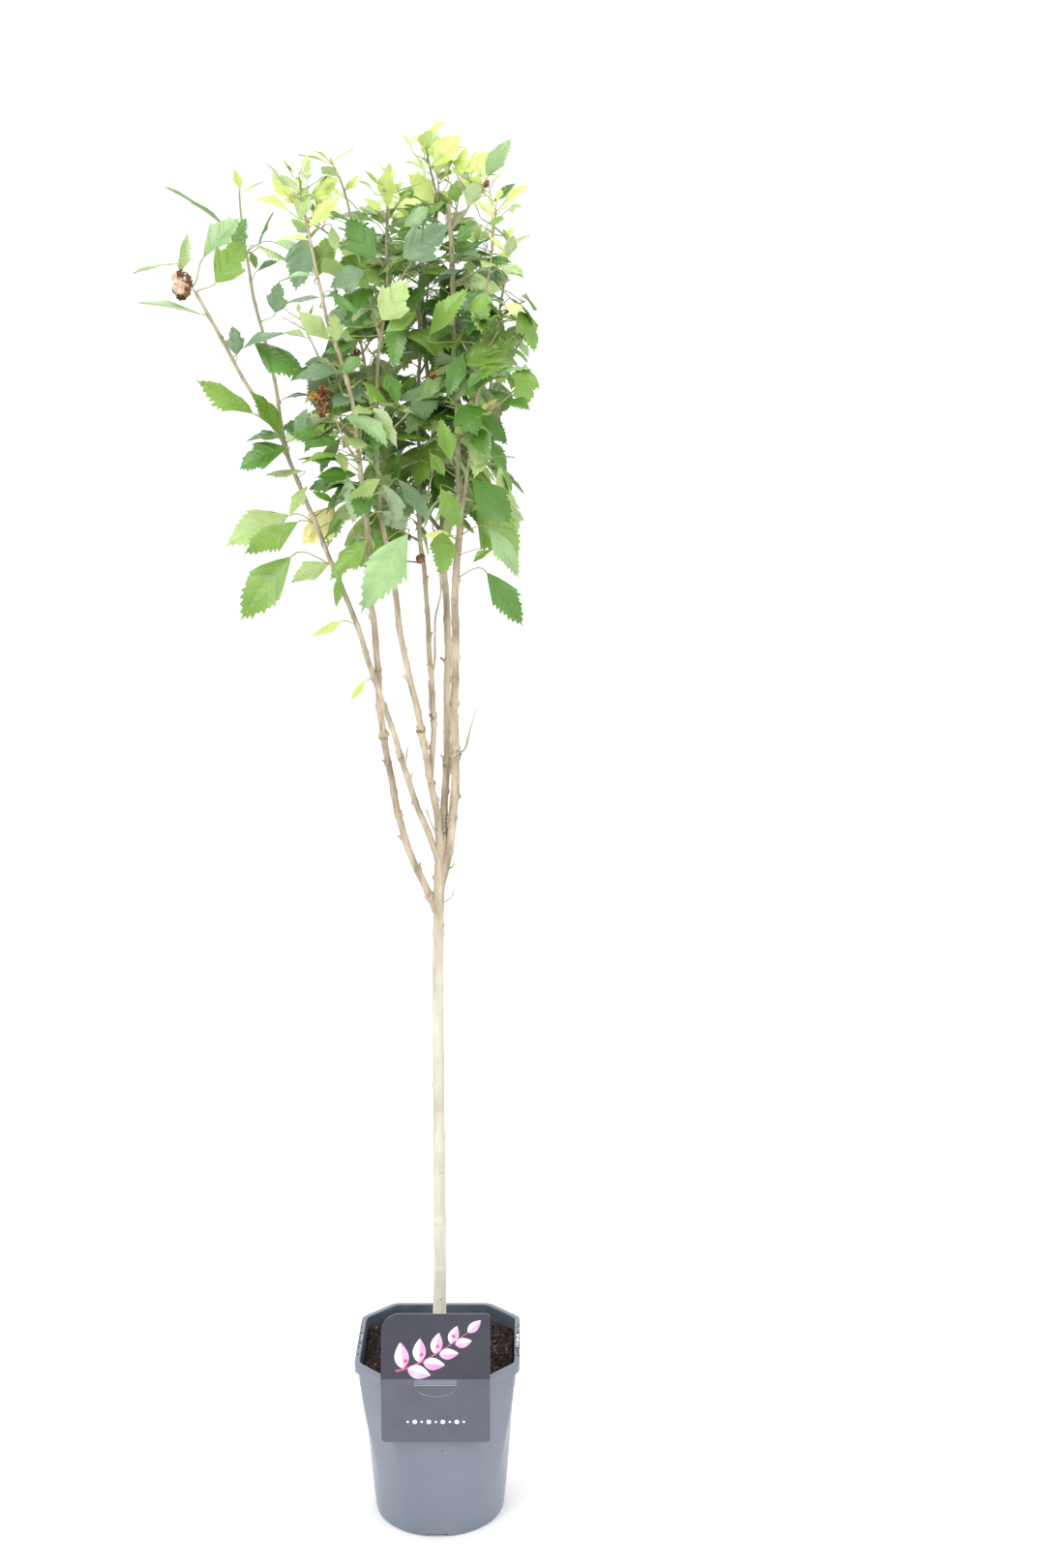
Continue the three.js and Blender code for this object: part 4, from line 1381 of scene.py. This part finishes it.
def edge_line(half, shoulder, lobes, rng):
    """One side's edge for a blade one unit long: two places on the plain wedge at the foot, and
    then a tooth and a notch in turn up to the tip. lobes of 1 draws out a side lobe."""
    roundness = rng.uniform(0.1, 0.6)
    x, y = [], []
    for share in (0.34, 0.72):
        x.append(half * ((1 - roundness) * share + roundness * math.sin(share * math.pi / 2)))
        y.append(shoulder * share * (1 - 0.1 * roundness))
    fullness = rng.uniform(1.35, 2.1)
    for step in range(2 * TOOTH_COUNT):
        notch = step % 2
        share = (step // 2 + 0.34 * notch) / (TOOTH_COUNT + 0.5)
        wide = half * (1 - share**fullness) ** 1.2 * (1 - 0.3 * smoothstep(share, 0.6, 0.9))
        wide *= 1 - 0.4 * lobes * math.exp(-(((share - 0.3) / 0.12) ** 2))
        tooth = TOOTH_SIZE * rng.uniform(0.2, 1.8) * (1 - 0.3 * share)
        level = shoulder + (1 - shoulder) * (share + rng.uniform(-0.014, 0.014))
        level += 0.1 * lobes * math.exp(-((share / 0.14) ** 2))
        x.append(max(wide - tooth * 0.4, 0.01) if notch else wide + tooth * 0.8)
        y.append(level if notch else level + tooth * 0.9)
    return np.array(x), np.array(y)


def flat_blade(lobes, width, rng):
    """A blade one unit long, lying flat: x across, y along the midrib, z up from its upper side."""
    shoulder = rng.uniform(0.38, 0.5) - 0.05 * lobes
    sides = []
    for _ in range(2):
        half = width / 2 * rng.uniform(0.9, 1.1)
        sides.append(edge_line(half, shoulder + rng.uniform(-0.03, 0.03), lobes, rng))
    midrib = []
    low = 0.0
    for x, y in zip((sides[0][0] + sides[1][0]) / 2, (sides[0][1] + sides[1][1]) / 2):
        low = max(low + 0.014, y - VEIN_SLOPE * x)
        midrib.append(low)
    midrib = np.array(midrib)
    quilting = np.array([0.0, 0.4] + [-1.0, 0.9] * TOOTH_COUNT) * 0.017
    points = np.zeros((BLADE_POINTS, 3))
    points[1] = (0, 1, -0.004)
    points[ROWS, 1] = midrib
    points[ROWS, 2] = -0.012
    for column, share in enumerate(COLUMN_SHARES, start=1):
        for side, (x, y) in zip((1, -1), sides):
            at = ROWS + column + (COLUMNS if side < 0 else 0)
            points[at, 0] = side * x * share
            points[at, 1] = midrib + (y - midrib) * share - 0.07 * x * math.sin(math.pi * share)
            points[at, 2] = quilting * (1 - 0.55 * share)
    return points


def leaf(foot, tip, normal, lobes, rng, droop=None):
    """A leaf between its foot and its tip, with its upper side towards normal: the points of its
    two skins, the way it leaves its foot, and its veins. droop is how far it arches, in radians."""
    chord = np.subtract(tip, foot)
    reach = np.linalg.norm(chord)
    along = chord / reach
    normal = unit(normal - along * np.dot(normal, along))
    droop = rng.uniform(0.25, 0.95) if droop is None else droop
    length = reach * (droop / 2) / math.sin(droop / 2)
    width = rng.uniform(0.36, 0.52) + 0.26 * lobes
    x, y, z = (flat_blade(lobes, width, rng) * length).T
    side = np.abs(x) / (width * length / 2)
    fold = rng.uniform(0.05, 0.35)
    wave = rng.uniform(0.01, 0.04) * length
    phase = rng.uniform(0, 6, 2)
    ripple = np.sin(y / length * 9 + np.where(x > 0, phase[0], phase[1])) * wave
    curl = rng.uniform(-0.03, 0.12) * length
    z = z + fold * np.abs(x) + ripple * side**1.5 - curl * side**2
    twist = rng.uniform(-0.5, 0.5) * y / length
    x, z = x * np.cos(twist) - z * np.sin(twist), x * np.sin(twist) + z * np.cos(twist)
    bend = droop * y / length
    arc = length / droop
    ahead = arc * np.sin(bend) + z * np.sin(bend)
    up = -arc * (1 - np.cos(bend)) + z * np.cos(bend)
    start = along * math.cos(droop / 2) + normal * math.sin(droop / 2)
    rise = normal * math.cos(droop / 2) - along * math.sin(droop / 2)
    across = np.cross(start, rise)
    upper = np.array(foot) + np.outer(x, across) + np.outer(ahead, start) + np.outer(up, rise)
    outer = np.outer(np.sin(bend), start) + np.outer(np.cos(bend), rise)
    under = upper - outer * np.where(EDGE, 0.0, BLADE_THICKNESS)[:, None]
    return np.vstack([upper, under]), start, vein_strips(upper, outer, across, length)


def vein_strips(upper, outer, across, length):
    """Thin strips just proud of the upper side, along the midrib and the larger side veins."""
    lines = [np.concatenate([[0], ROWS[::2]])]
    for row in ROWS[2:11:4]:
        for first in (1, 1 + COLUMNS):
            lines.append(np.concatenate([[row], row + first + np.arange(COLUMNS - 1)]))
    veins = Heap()
    for order, line in enumerate(lines):
        size = len(line)
        middle = upper[line] + outer[line] * VEIN_LIFT
        half = VEIN_SHARE * length * np.linspace(1, 0.35, size)[:, None]
        one, other = 0, size
        if order:
            across = unit(np.cross(middle[-1] - middle[0], outer[line[0]]))
            one, other = size, 0
        faces = [(one + step, other + step, other + step + 1, one + step + 1) for step in range(size - 1)]
        veins.add(np.vstack([middle - across * half, middle + across * half]), faces)
    return np.vstack(veins.points), veins.faces


def facing(along, face):
    """The way a blade's upper side looks: 0 up, 90 towards -Y."""
    along = unit(along)
    up, front = (unit(way - along * np.dot(way, along)) for way in (UP, FRONT))
    return unit(up * math.cos(math.radians(face)) + front * math.sin(math.radians(face)))


class Crown:
    """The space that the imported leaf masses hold, and everything that grows in it."""

    def __init__(self, stems):
        self.lanes = [stems[name].points for name in OPEN_STEMS]
        shown = [np.array(foot) + (np.array(tip) - foot) * share
                 for foot, tip, *_ in CLEAR_LEAVES for share in (0.3, 0.65, 1.0)]
        shown += [np.array(middle) + (0, 0, size[2] * share)
                  for middle, size, *_ in DRIED_FLOWERS for share in (-1.0, -0.5, 0, 0.5, 1.0)]
        self.shown = np.array(shown)
        self.trees = []
        for name in MASS_NODES:
            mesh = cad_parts[name].data
            points = [vertex.co for vertex in mesh.vertices]
            faces = [tuple(face.vertices) for face in mesh.polygons]
            self.trees.append(BVHTree.FromPolygons(points, faces))
        self.leaves = {tint: Heap() for tint in TINTS}
        self.petioles = Heap()
        self.veins = Heap()
        self.twigs = Heap()
        self.middles = []

    def holds(self, place, spare):
        """True if a place is inside a mass, or outside it by less than spare, and never far
        outside the whole model's box."""
        place = Vector(place) * MM
        edge = BOX_SPARE * MM
        if any(not low - edge < at < high + edge for low, at, high in zip(cad_box[0], place, cad_box[1])):
            return False
        for tree in self.trees:
            near, normal, _, _ = tree.find_nearest(place)
            if (place - near).dot(normal) < spare * MM:
                return True
        return False

    def leaf(self, start, leaving, foot, tip, normal, lobes, tint, rng, droop=None):
        """A leaf with its veins and its petiole, which sets out from start."""
        points, arriving, veins = leaf(foot, tip, normal, lobes, rng, droop)
        self.leaves[tint].add(points, UPPER_FACES + UNDER_FACES, BLADE_MARKS)
        self.veins.add(*veins, list(TINTS).index(tint))
        reach = np.linalg.norm(np.subtract(foot, start))
        line = bezier([start, start + leaving * reach * 0.4, foot - arriving * reach * 0.35, foot], 7)
        thick = 0.6 + np.linalg.norm(np.subtract(tip, foot)) / 120
        self.petioles.add(*tube(line, np.array(PETIOLE_RADII) * thick, PETIOLE_SIDES))
        self.middles.append((np.array(foot) + tip) / 2)

    def twig(self, points, thick, rng):
        stem = tapering(through(points, TWIG_STEP), thick)
        cover(self.twigs, stem, rng)
        return stem

    def hides_stem(self, place):
        """True if a leaf there would cover one of the stems that show in front."""
        for line in self.lanes:
            near = line[np.abs(line[:, 2] - place[2]) < LANE_HALF_HEIGHT]
            if np.any((near[:, 1] > place[1] + 3) & (np.abs(near[:, 0] - place[0]) < LANE_HALF_WIDTH)):
                return True
        return False

    def hides_leaf(self, place):
        """True if a leaf there would cover a listed leaf or a dried flower."""
        apart = self.shown - place
        near = np.hypot(apart[:, 0], apart[:, 2]) < SHOWN_REACH
        return bool(np.any(near & (apart[:, 1] > -SHOWN_DEPTH)))

    def fills_gap(self, place):
        """True if a leaf there would close one of the openings, seen from the front."""
        eye = np.array(CAMERA_PLACE) / MM
        seen = eye + (place - eye) * (GAP_DEPTH - eye[1]) / (place[1] - eye[1])
        return any(math.hypot(seen[0] - x, seen[2] - z) < reach for x, z, reach in SKY_GAPS)


def spray_tint(height, depth, rng):
    """The colour of a whole spray: lime at the top of the crown, partly young growth and partly painted
    glow of light through the leaves, darker half way up and inside.
    """
    top = smoothstep(height, *LIME_GLOW_RISE)
    low = 1 - smoothstep(height, *DARK_RISE)
    weights = {
        "deep": 0.4 * (1 - top) * (0.6 + 0.8 * depth) * (1 - 0.4 * low),
        "mid": 0.36 * (1 - 0.7 * top),
        "fresh": 0.16 + 0.16 * top,
        "sage": 0.1 * (1 - top),
        "pale": 0.08,
        "lime": 0.004 + 0.62 * top,
        "yellow": 0.004 * (1 - top),
    }
    shares = np.array(list(weights.values()))
    return str(rng.choice(list(weights), p=shares / shares.sum()))


def grow_leaf(crown, start, tangent, outward, vigour, tint, rng):
    """Tries a leaf on a petiole from start. It is kept if the crown's masses hold it."""
    top = smoothstep(start[2], *SMALL_RISE)
    for _ in range(LEAF_TRIES):
        side = swung(outward, rng.normal(0, 0.45))
        petiole = rng.uniform(*PETIOLE_LENGTHS) * (0.6 + 0.5 * vigour)
        rise = rng.uniform(0.15, 0.9) + 0.3 * top
        foot = start + unit(side + UP * rise) * petiole
        size = (rng.uniform(*LEAF_LENGTHS) + 14 * rng.random() ** 3) * vigour * (1 - 0.34 * top)
        pitch = rng.uniform(-1.2, 0.05) * (1 - top) + rng.uniform(0.1, 1.2) * top
        along = unit(side + UP * math.tan(pitch))
        tip = foot + along * size
        middle = foot + along * size * 0.5
        outer = foot + along * size * 0.8
        if (crown.hides_stem(middle) or crown.hides_stem(outer)) and rng.random() < LANE_KEPT:
            continue
        if any(crown.hides_leaf(spot) or crown.fills_gap(spot) for spot in (middle, outer)):
            continue
        if crown.holds(middle, MIDDLE_SPARE) and crown.holds(tip, TIP_SPARE):
            lean = side * rng.uniform(0.0, 0.9) * (1 - 1.6 * top) + FRONT * 0.35 + rng.normal(0, 0.4, 3)
            lobes = float(np.clip(rng.normal(0.4, 0.38), 0, 1))
            leaving = unit(side * 0.8 + tangent * 0.5)
            crown.leaf(start, leaving, foot, tip, unit(UP + lean), lobes, tint, rng)
            return True
    return False


def leaf_on(crown, shoot, at, side, vigour, tint, rng):
    """Tries a leaf at a distance along a shoot."""
    place, direction, _ = shoot.at(at)
    return grow_leaf(crown, place, direction, side, vigour, tint, rng)


def grow_side_shoot(crown, start, way, outward, reach, vigour, tint, rng):
    """A twig with leaves in turn along it and three at its end, if the crown has room for it."""
    end = start + way * reach + UP * (reach * 0.18)
    if not crown.holds(end, SIDE_SHOOT_SPARE) or crown.hides_leaf(end):
        return False
    line = through([start, start + way * reach * 0.5, end], TWIG_STEP)
    shoot = tapering(line, (2.0 + reach / 60, 1.3))
    grown = 0
    turn = rng.uniform(0, 6)
    for at in np.arange(12, shoot.length - 2, SHOOT_SPACING):
        turn += math.pi * 0.8
        side = unit(level_way(turn) + outward * 0.5)
        grown += leaf_on(crown, shoot, at, side, vigour * rng.uniform(0.7, 1.0), tint, rng)
    for turn in np.arange(3) * 2.1 + rng.uniform(0, 6):
        size = vigour * rng.uniform(0.5, 0.85)
        grown += leaf_on(crown, shoot, shoot.length, level_way(turn), size, tint, rng)
    if grown:
        cover(crown.twigs, shoot, rng)
    return True


def grow_spray(crown, start, tangent, outward, share, rng):
    """A node's growth: one leaf, a short spur with a few, or a leafy side shoot."""
    depth = 1 - min(np.linalg.norm(start[:2] - CROWN_MIDDLE) / CROWN_RADIUS, 1)
    tint = spray_tint(start[2] + 8, depth, rng)
    vigour = 1.0 - 0.3 * share**2
    kind = rng.random()
    if kind < SIDE_SHOOTS and share < 0.85:
        reach = rng.uniform(*SIDE_SHOOT_LENGTHS) * vigour
        way = unit(outward + tangent * rng.uniform(0.5, 1.1))
        if grow_side_shoot(crown, start, way, outward, reach, vigour, tint, rng):
            return
    place, turns = start, [0]
    if kind >= SINGLES:
        turns = np.linspace(-1.25, 1.25, rng.integers(2, 5))
        place = start + unit(outward + tangent * 0.4) * rng.uniform(3, 9)
        crown.twig([start - outward, (start + place) / 2 + (0, 0, 0.4), place], (3.0, 2.3), rng)
    for turn in turns:
        grow_leaf(crown, place, tangent, swung(outward, turn), vigour * rng.uniform(0.72, 1.08), tint, rng)


def grow_tuft(crown, stem, rng):
    """The small new leaves at a shoot's tip."""
    _, tangent, _ = stem.at(stem.length)
    for order, turn in enumerate(np.arange(TUFT_LEAVES) * GOLDEN_TURN + rng.uniform(0, 6)):
        place, _, _ = stem.at(stem.length - order * 5)
        side = level_way(turn)
        size = rng.uniform(11, 18) + order * 4
        along = unit(side + tangent * rng.uniform(0.9, 1.8) - (0, 0, order * 0.16))
        foot = place + along * rng.uniform(3, 7)
        end = foot + along * size
        if crown.holds(end, TUFT_SPARE):
            tint = "lime" if order < TUFT_LEAVES - 1 else "fresh"
            crown.leaf(place, along, foot, end, unit(tangent + side * -0.3), 0.2, tint, rng, droop=0.5)


def grow_crown(stems, crown):
    """Leaves and sprays in turn up every leafy stem, and a tuft at its tip."""
    for order, (name, stem) in enumerate(stems.items()):
        rng = draws("stems", order)
        plan = STEMS[name]
        if plan["leafy"] is None:
            continue
        start = stem.distance_at_height(plan["leafy"])
        at = start
        turn = rng.uniform(0, 6)
        while at < stem.length - 3:
            place, tangent, radius = stem.at(at)
            outward = unit(level_way(turn))
            share = (at - start) / (stem.length - start)
            grow_spray(crown, place + outward * radius * 0.7, tangent, outward, share, rng)
            at += NODE_SPACING * rng.uniform(0.7, 1.25) * (1 - 0.4 * share)
            turn += GOLDEN_TURN + rng.normal(0, 0.25)
        if not plan.get("blunt"):
            grow_tuft(crown, stem, rng)


def nearest_start(stems, place, penalty=lambda rise: 0):
    """The point of the stems that is nearest to a place, and the way the stem runs there. penalty
    adds to the distance by how far the place rises above a point."""
    found = []
    for stem in stems:
        gap = np.linalg.norm(stem.points - place, axis=1) + penalty(place[2] - stem.points[:, 2])
        index = int(np.argmin(gap))
        found.append((gap[index], stem.points[index], stem.tangents[index]))
    return min(found, key=lambda row: row[0])[1:]


def fill_gaps(stems, crown):
    """Sends a leafy twig from the nearest stem towards each gap in the masses."""
    rng = draws("gaps")
    leafy = [stem for name, stem in stems.items() if STEMS[name]["leafy"]]
    low, high = np.array(cad_box[0]) / MM, np.array(cad_box[1]) / MM
    low[2], high[2] = FILL_HEIGHTS
    for _ in range(FILL_TRIES):
        place = rng.uniform(low, high)
        left = FILL_LEFT[int(place[2] > FILL_LEFT_RISE)]
        if place[0] < left or crown.hides_stem(place) or not crown.holds(place, -FILL_INSIDE):
            continue
        if np.min(np.linalg.norm(np.array(crown.middles) - place, axis=1)) < FILL_GAP:
            continue
        start, tangent = nearest_start(
            leafy, place, lambda rise: np.where(rise < 8, 80, 0) + 0.3 * np.abs(rise - 26))
        way = place - start
        reach = np.linalg.norm(way)
        if not FILL_REACH[0] < reach < FILL_REACH[1] or start[2] < FILL_FROM:
            continue
        outward = level_part(way)
        vigour = rng.uniform(0.75, 1.0)
        tint = spray_tint(place[2], 0.7, rng)
        end = start + way * (1 - FILL_SHORT / max(reach, 30))
        middle = start + (end - start) * 0.45 + tangent * reach * 0.06 + outward * reach * 0.05
        line = through([start, middle, end], TWIG_STEP)
        shoot = tapering(line, (1.4 + reach / 70, 1.0))
        grown = 0
        turn = rng.uniform(0, 6)
        for at in np.arange(shoot.length, min(FILL_SPACING, shoot.length / 2), -FILL_SPACING):
            turn += GOLDEN_TURN
            side = unit(level_way(turn) + outward * 0.6)
            grown += leaf_on(crown, shoot, at, side, vigour, tint, rng)
        if grown:
            cover(crown.twigs, shoot, rng, mark=1)


def place_clear_leaves(stems, crown):
    """Hangs each listed leaf on a near stem, from a little below its foot."""
    for order, (foot, tip, face, lobes, tint) in enumerate(CLEAR_LEAVES):
        rng = draws("clear", order)
        foot, tip = np.array(foot, float), np.array(tip, float)
        start, tangent = nearest_start(stems, foot, lambda rise: 0.6 * np.abs(rise - 10))
        leaving = unit(level_part(foot - start) + tangent * 0.6)
        droop = rng.uniform(0.15, 0.55)
        crown.leaf(start, leaving, foot, tip, facing(tip - foot, face), lobes, tint, rng, droop)


def build_crown(stems, materials):
    """Grows the leaves, veins, petioles and twigs in the masses' place. Returns the listed side
    shoots."""
    crown = Crown(stems)
    shoots = [crown.twig(route, thick, draws("shoots", order))
              for order, (route, thick) in enumerate(SHOOTS)]
    place_clear_leaves([*stems.values(), *shoots], crown)
    for order, shoot in enumerate(shoots):
        grow_tuft(crown, shoot, draws("tufts", order))
    grow_crown(stems, crown)
    fill_gaps(stems, crown)
    for tint, heap in crown.leaves.items():
        nodes = MASS_NODES if tint == "mid" else ()
        heap_piece(f"leaves_{tint}", heap, leaf_materials(tint), "foliage", nodes)
    petiole = grained("petiole", (118, 122, 68), (164, 168, 106), 90, 0.5, 0.1)
    heap_piece("leaf_veins", crown.veins, [vein_material(tint) for tint in TINTS], "foliage")
    heap_piece("petioles", crown.petioles, [petiole], "foliage")
    heap_piece("twigs", crown.twigs, materials, "bark")
    return shoots


# ---- Dried flowers ----------------------------------------------------------------------------


def crumpled(heap, middle, size, petals, mix, rng):
    """A withered flower: crinkled petals wrapped round its middle, each with two skins that meet
    at its edge."""
    rows, columns = PETAL_GRID
    u, v = np.meshgrid(np.linspace(-1, 1, rows), np.linspace(-1, 1, columns), indexing="ij")
    inner = ((np.abs(u) < 1) & (np.abs(v) < 1)).reshape(-1, 1)
    faces = [(a, a + columns, a + columns + 1, a + 1)
             for a in range((rows - 1) * columns) if a % columns < columns - 1]
    backs = [tuple(corner + rows * columns for corner in reversed(face)) for face in faces]
    for _ in range(petals):
        axis = unit(rng.normal(0, 1, 3))
        centre = np.array(middle) + axis * np.array(size) * rng.uniform(0.3, 0.8)
        along = unit(np.cross(axis, rng.normal(0, 1, 3)))
        across = np.cross(axis, along)
        width = min(size) ** 0.6 * rng.uniform(0.7, 1.1)
        length = max(size) ** 0.6 * rng.uniform(0.8, 1.3)
        crinkle = np.sin(v * rng.uniform(5, 9) + u * 3 + rng.uniform(0, 6)) * 1.3
        crinkle += rng.normal(0, 0.5, u.shape)
        taper = 1 - 0.35 * u**2
        points = centre + (u * length)[..., None] * along + (v * width * taper)[..., None] * across
        points = (points + (crinkle - 2.4 * (u**2 + v**2))[..., None] * axis).reshape(-1, 3)
        both = np.vstack([points, points - axis * PETAL_THICKNESS * inner])
        heap.add(both, faces + backs, int(rng.choice(len(mix), p=mix)))


def build_dried_flowers(materials, stems):
    """Each listed flower, on a stalk from the nearest stem."""
    rng = draws("dried")
    heap = Heap()
    for middle, size, petals, mix in DRIED_FLOWERS:
        middle = np.array(middle, float)
        crumpled(heap, middle, size, petals, DRIED_MIXES[mix], rng)
        start, _ = nearest_start(stems, middle)
        head = middle + (0, 0, size[2] * 0.5 * np.sign(start[2] - middle[2] + 1))
        leaving = start * 0.7 + head * 0.3 + (0, 0, 3)
        arriving = head * 0.8 + start * 0.2 + (0, 0, 3)
        line = bezier([start, leaving, arriving, head], 9)
        heap.add(*tube(line, np.linspace(0.9, 0.6, 9), 6), STALK_TONE)
    heap_piece("dried_flowers", heap, materials, "foliage")


# ---- Studio -----------------------------------------------------------------------------------


def build_floor():
    half = FLOOR_HALF
    paper = grained("floor_paper", (244, 244, 244), (247, 247, 247), 3, 0.8, 0.02, fine=300, gloss=0.2)
    corners = [(-half, -half, 0), (half, -half, 0), (half, half, 0), (-half, half, 0)]
    floor = placed("floor", mesh_of("floor", corners, [(0, 1, 2, 3)], [paper]))


def softbox(name, place, target, size, power):
    light = bpy.data.lights.new(name, "AREA")
    light.shape = "RECTANGLE"
    light.size, light.size_y = size
    light.energy = power
    lamp = placed(name, light)
    lamp.location = place
    lamp.rotation_euler = (Vector(target) - Vector(place)).to_track_quat("-Z", "Y").to_euler()
    lamp.visible_camera = False


def build_light():
    """A bright even surround and three softboxes, in metres and watts."""
    world = bpy.data.worlds.new("studio")
    world.use_nodes = True
    background = world.node_tree.nodes["Background"]
    background.inputs["Color"].default_value = (1.0, 1.0, 1.0, 1.0)
    background.inputs["Strength"].default_value = WORLD_STRENGTH
    scene = bpy.context.scene
    scene.world = world
    scene.view_settings.view_transform = "Standard"
    softbox("key", (-1.5, -1.7, 2.3), (0, 0, 0.9), (1.2, 1.6), 34)
    softbox("fill", (1.7, -1.4, 1.5), (0, 0, 0.9), (1.0, 1.4), 12)
    softbox("top", (0.0, 0.5, 2.9), (0, 0, 1.2), (1.6, 1.2), 22)


def build_camera():
    camera = bpy.data.cameras.new("camera")
    camera.sensor_fit = "AUTO"
    camera.sensor_width = SENSOR
    camera.lens = LENS
    eye = placed("camera", camera)
    eye.location = CAMERA_PLACE
    eye.rotation_euler = (math.radians(90 - CAMERA_PITCH), 0, 0)
    bpy.context.scene.camera = eye


# ---- Putting it together ----------------------------------------------------------------------

build_camera()
build_light()
build_floor()

build_pot([
    grained("pot_plastic", (107, 114, 127), (114, 122, 136), 14, 0.3, 0.1, fine=900, gloss=0.6),
    # The same plastic, darker inside the wall: painted shade.
    grained("pot_inside_painted_shade", (66, 72, 82), (84, 90, 100), 60, 0.5, 0.2, fine=900),
])
build_soil(grained("soil", (30, 23, 22), (58, 45, 41), 120, 0.92, 0.8, fine=700, gloss=0.2))
chips = [grained(f"chips_{number}", *pair, 160, 0.85, 0.6, fine=900, gloss=0.25)
         for number, pair in enumerate(CHIP_COLOURS)]
build_chips(chips)
build_crumbs(chips[0])
build_tag(
    [
        # One card colour in two copies: painted shade on the upper part that leans back, painted glare on
        # the lower part.
        grained("tag_upper_painted_shade", (50, 50, 62), (56, 56, 68), 40, 0.42, 0.04, fine=900),
        grained("tag_lower_painted_glare", (80, 81, 94), (87, 88, 101), 40, 0.42, 0.04, fine=900),
        grained("tag_edge", (226, 226, 230), (236, 236, 240), 200, 0.6, 0.05),
    ],
    [grained(f"print_{ink}", *pair, 60, 0.45, 0.03, fine=900) for ink, pair in PRINT_INKS.items()],
)

bough_bark = bark("bark_boughs", *BOUGH_COLOURS, (218, 208, 188))
# Greener young bark whose light tone is darkened as painted shade of the leaves; the twigs in the crown
# wear it too.
green_shaded_bark = bark("bark_high_green_shaded", (146, 137, 110), (190, 180, 150), (208, 200, 174))
shoot_bark = bark("bark_shoots", (112, 136, 62), (152, 168, 92), (176, 190, 124), roughness=0.55)
knot_bark = bark("bark_knots", (98, 77, 54), (158, 134, 98), (204, 186, 154), roughness=0.85)
# The trunk's bark is paler towards its foot: painted light against the shade of the rim and the tag.
trunk_bark = bark("bark_trunk", *TRUNK_FOOT_PAINTED_LIGHT_COLOURS, (222, 218, 204), fades=TRUNK_FADES)
trunk = build_trunk(trunk_bark)
stems = build_boughs([bough_bark, green_shaded_bark, shoot_bark])
build_knots(trunk, stems, [knot_bark, bough_bark])
shoots = build_crown(stems, [green_shaded_bark, shoot_bark])
dried = [grained(f"dried_{tone}", dark, light, 200, roughness, 0.5, fine=900)
         for tone, (dark, light, roughness) in DRIED_TONES.items()]
build_dried_flowers(dried, [*stems.values(), *shoots])
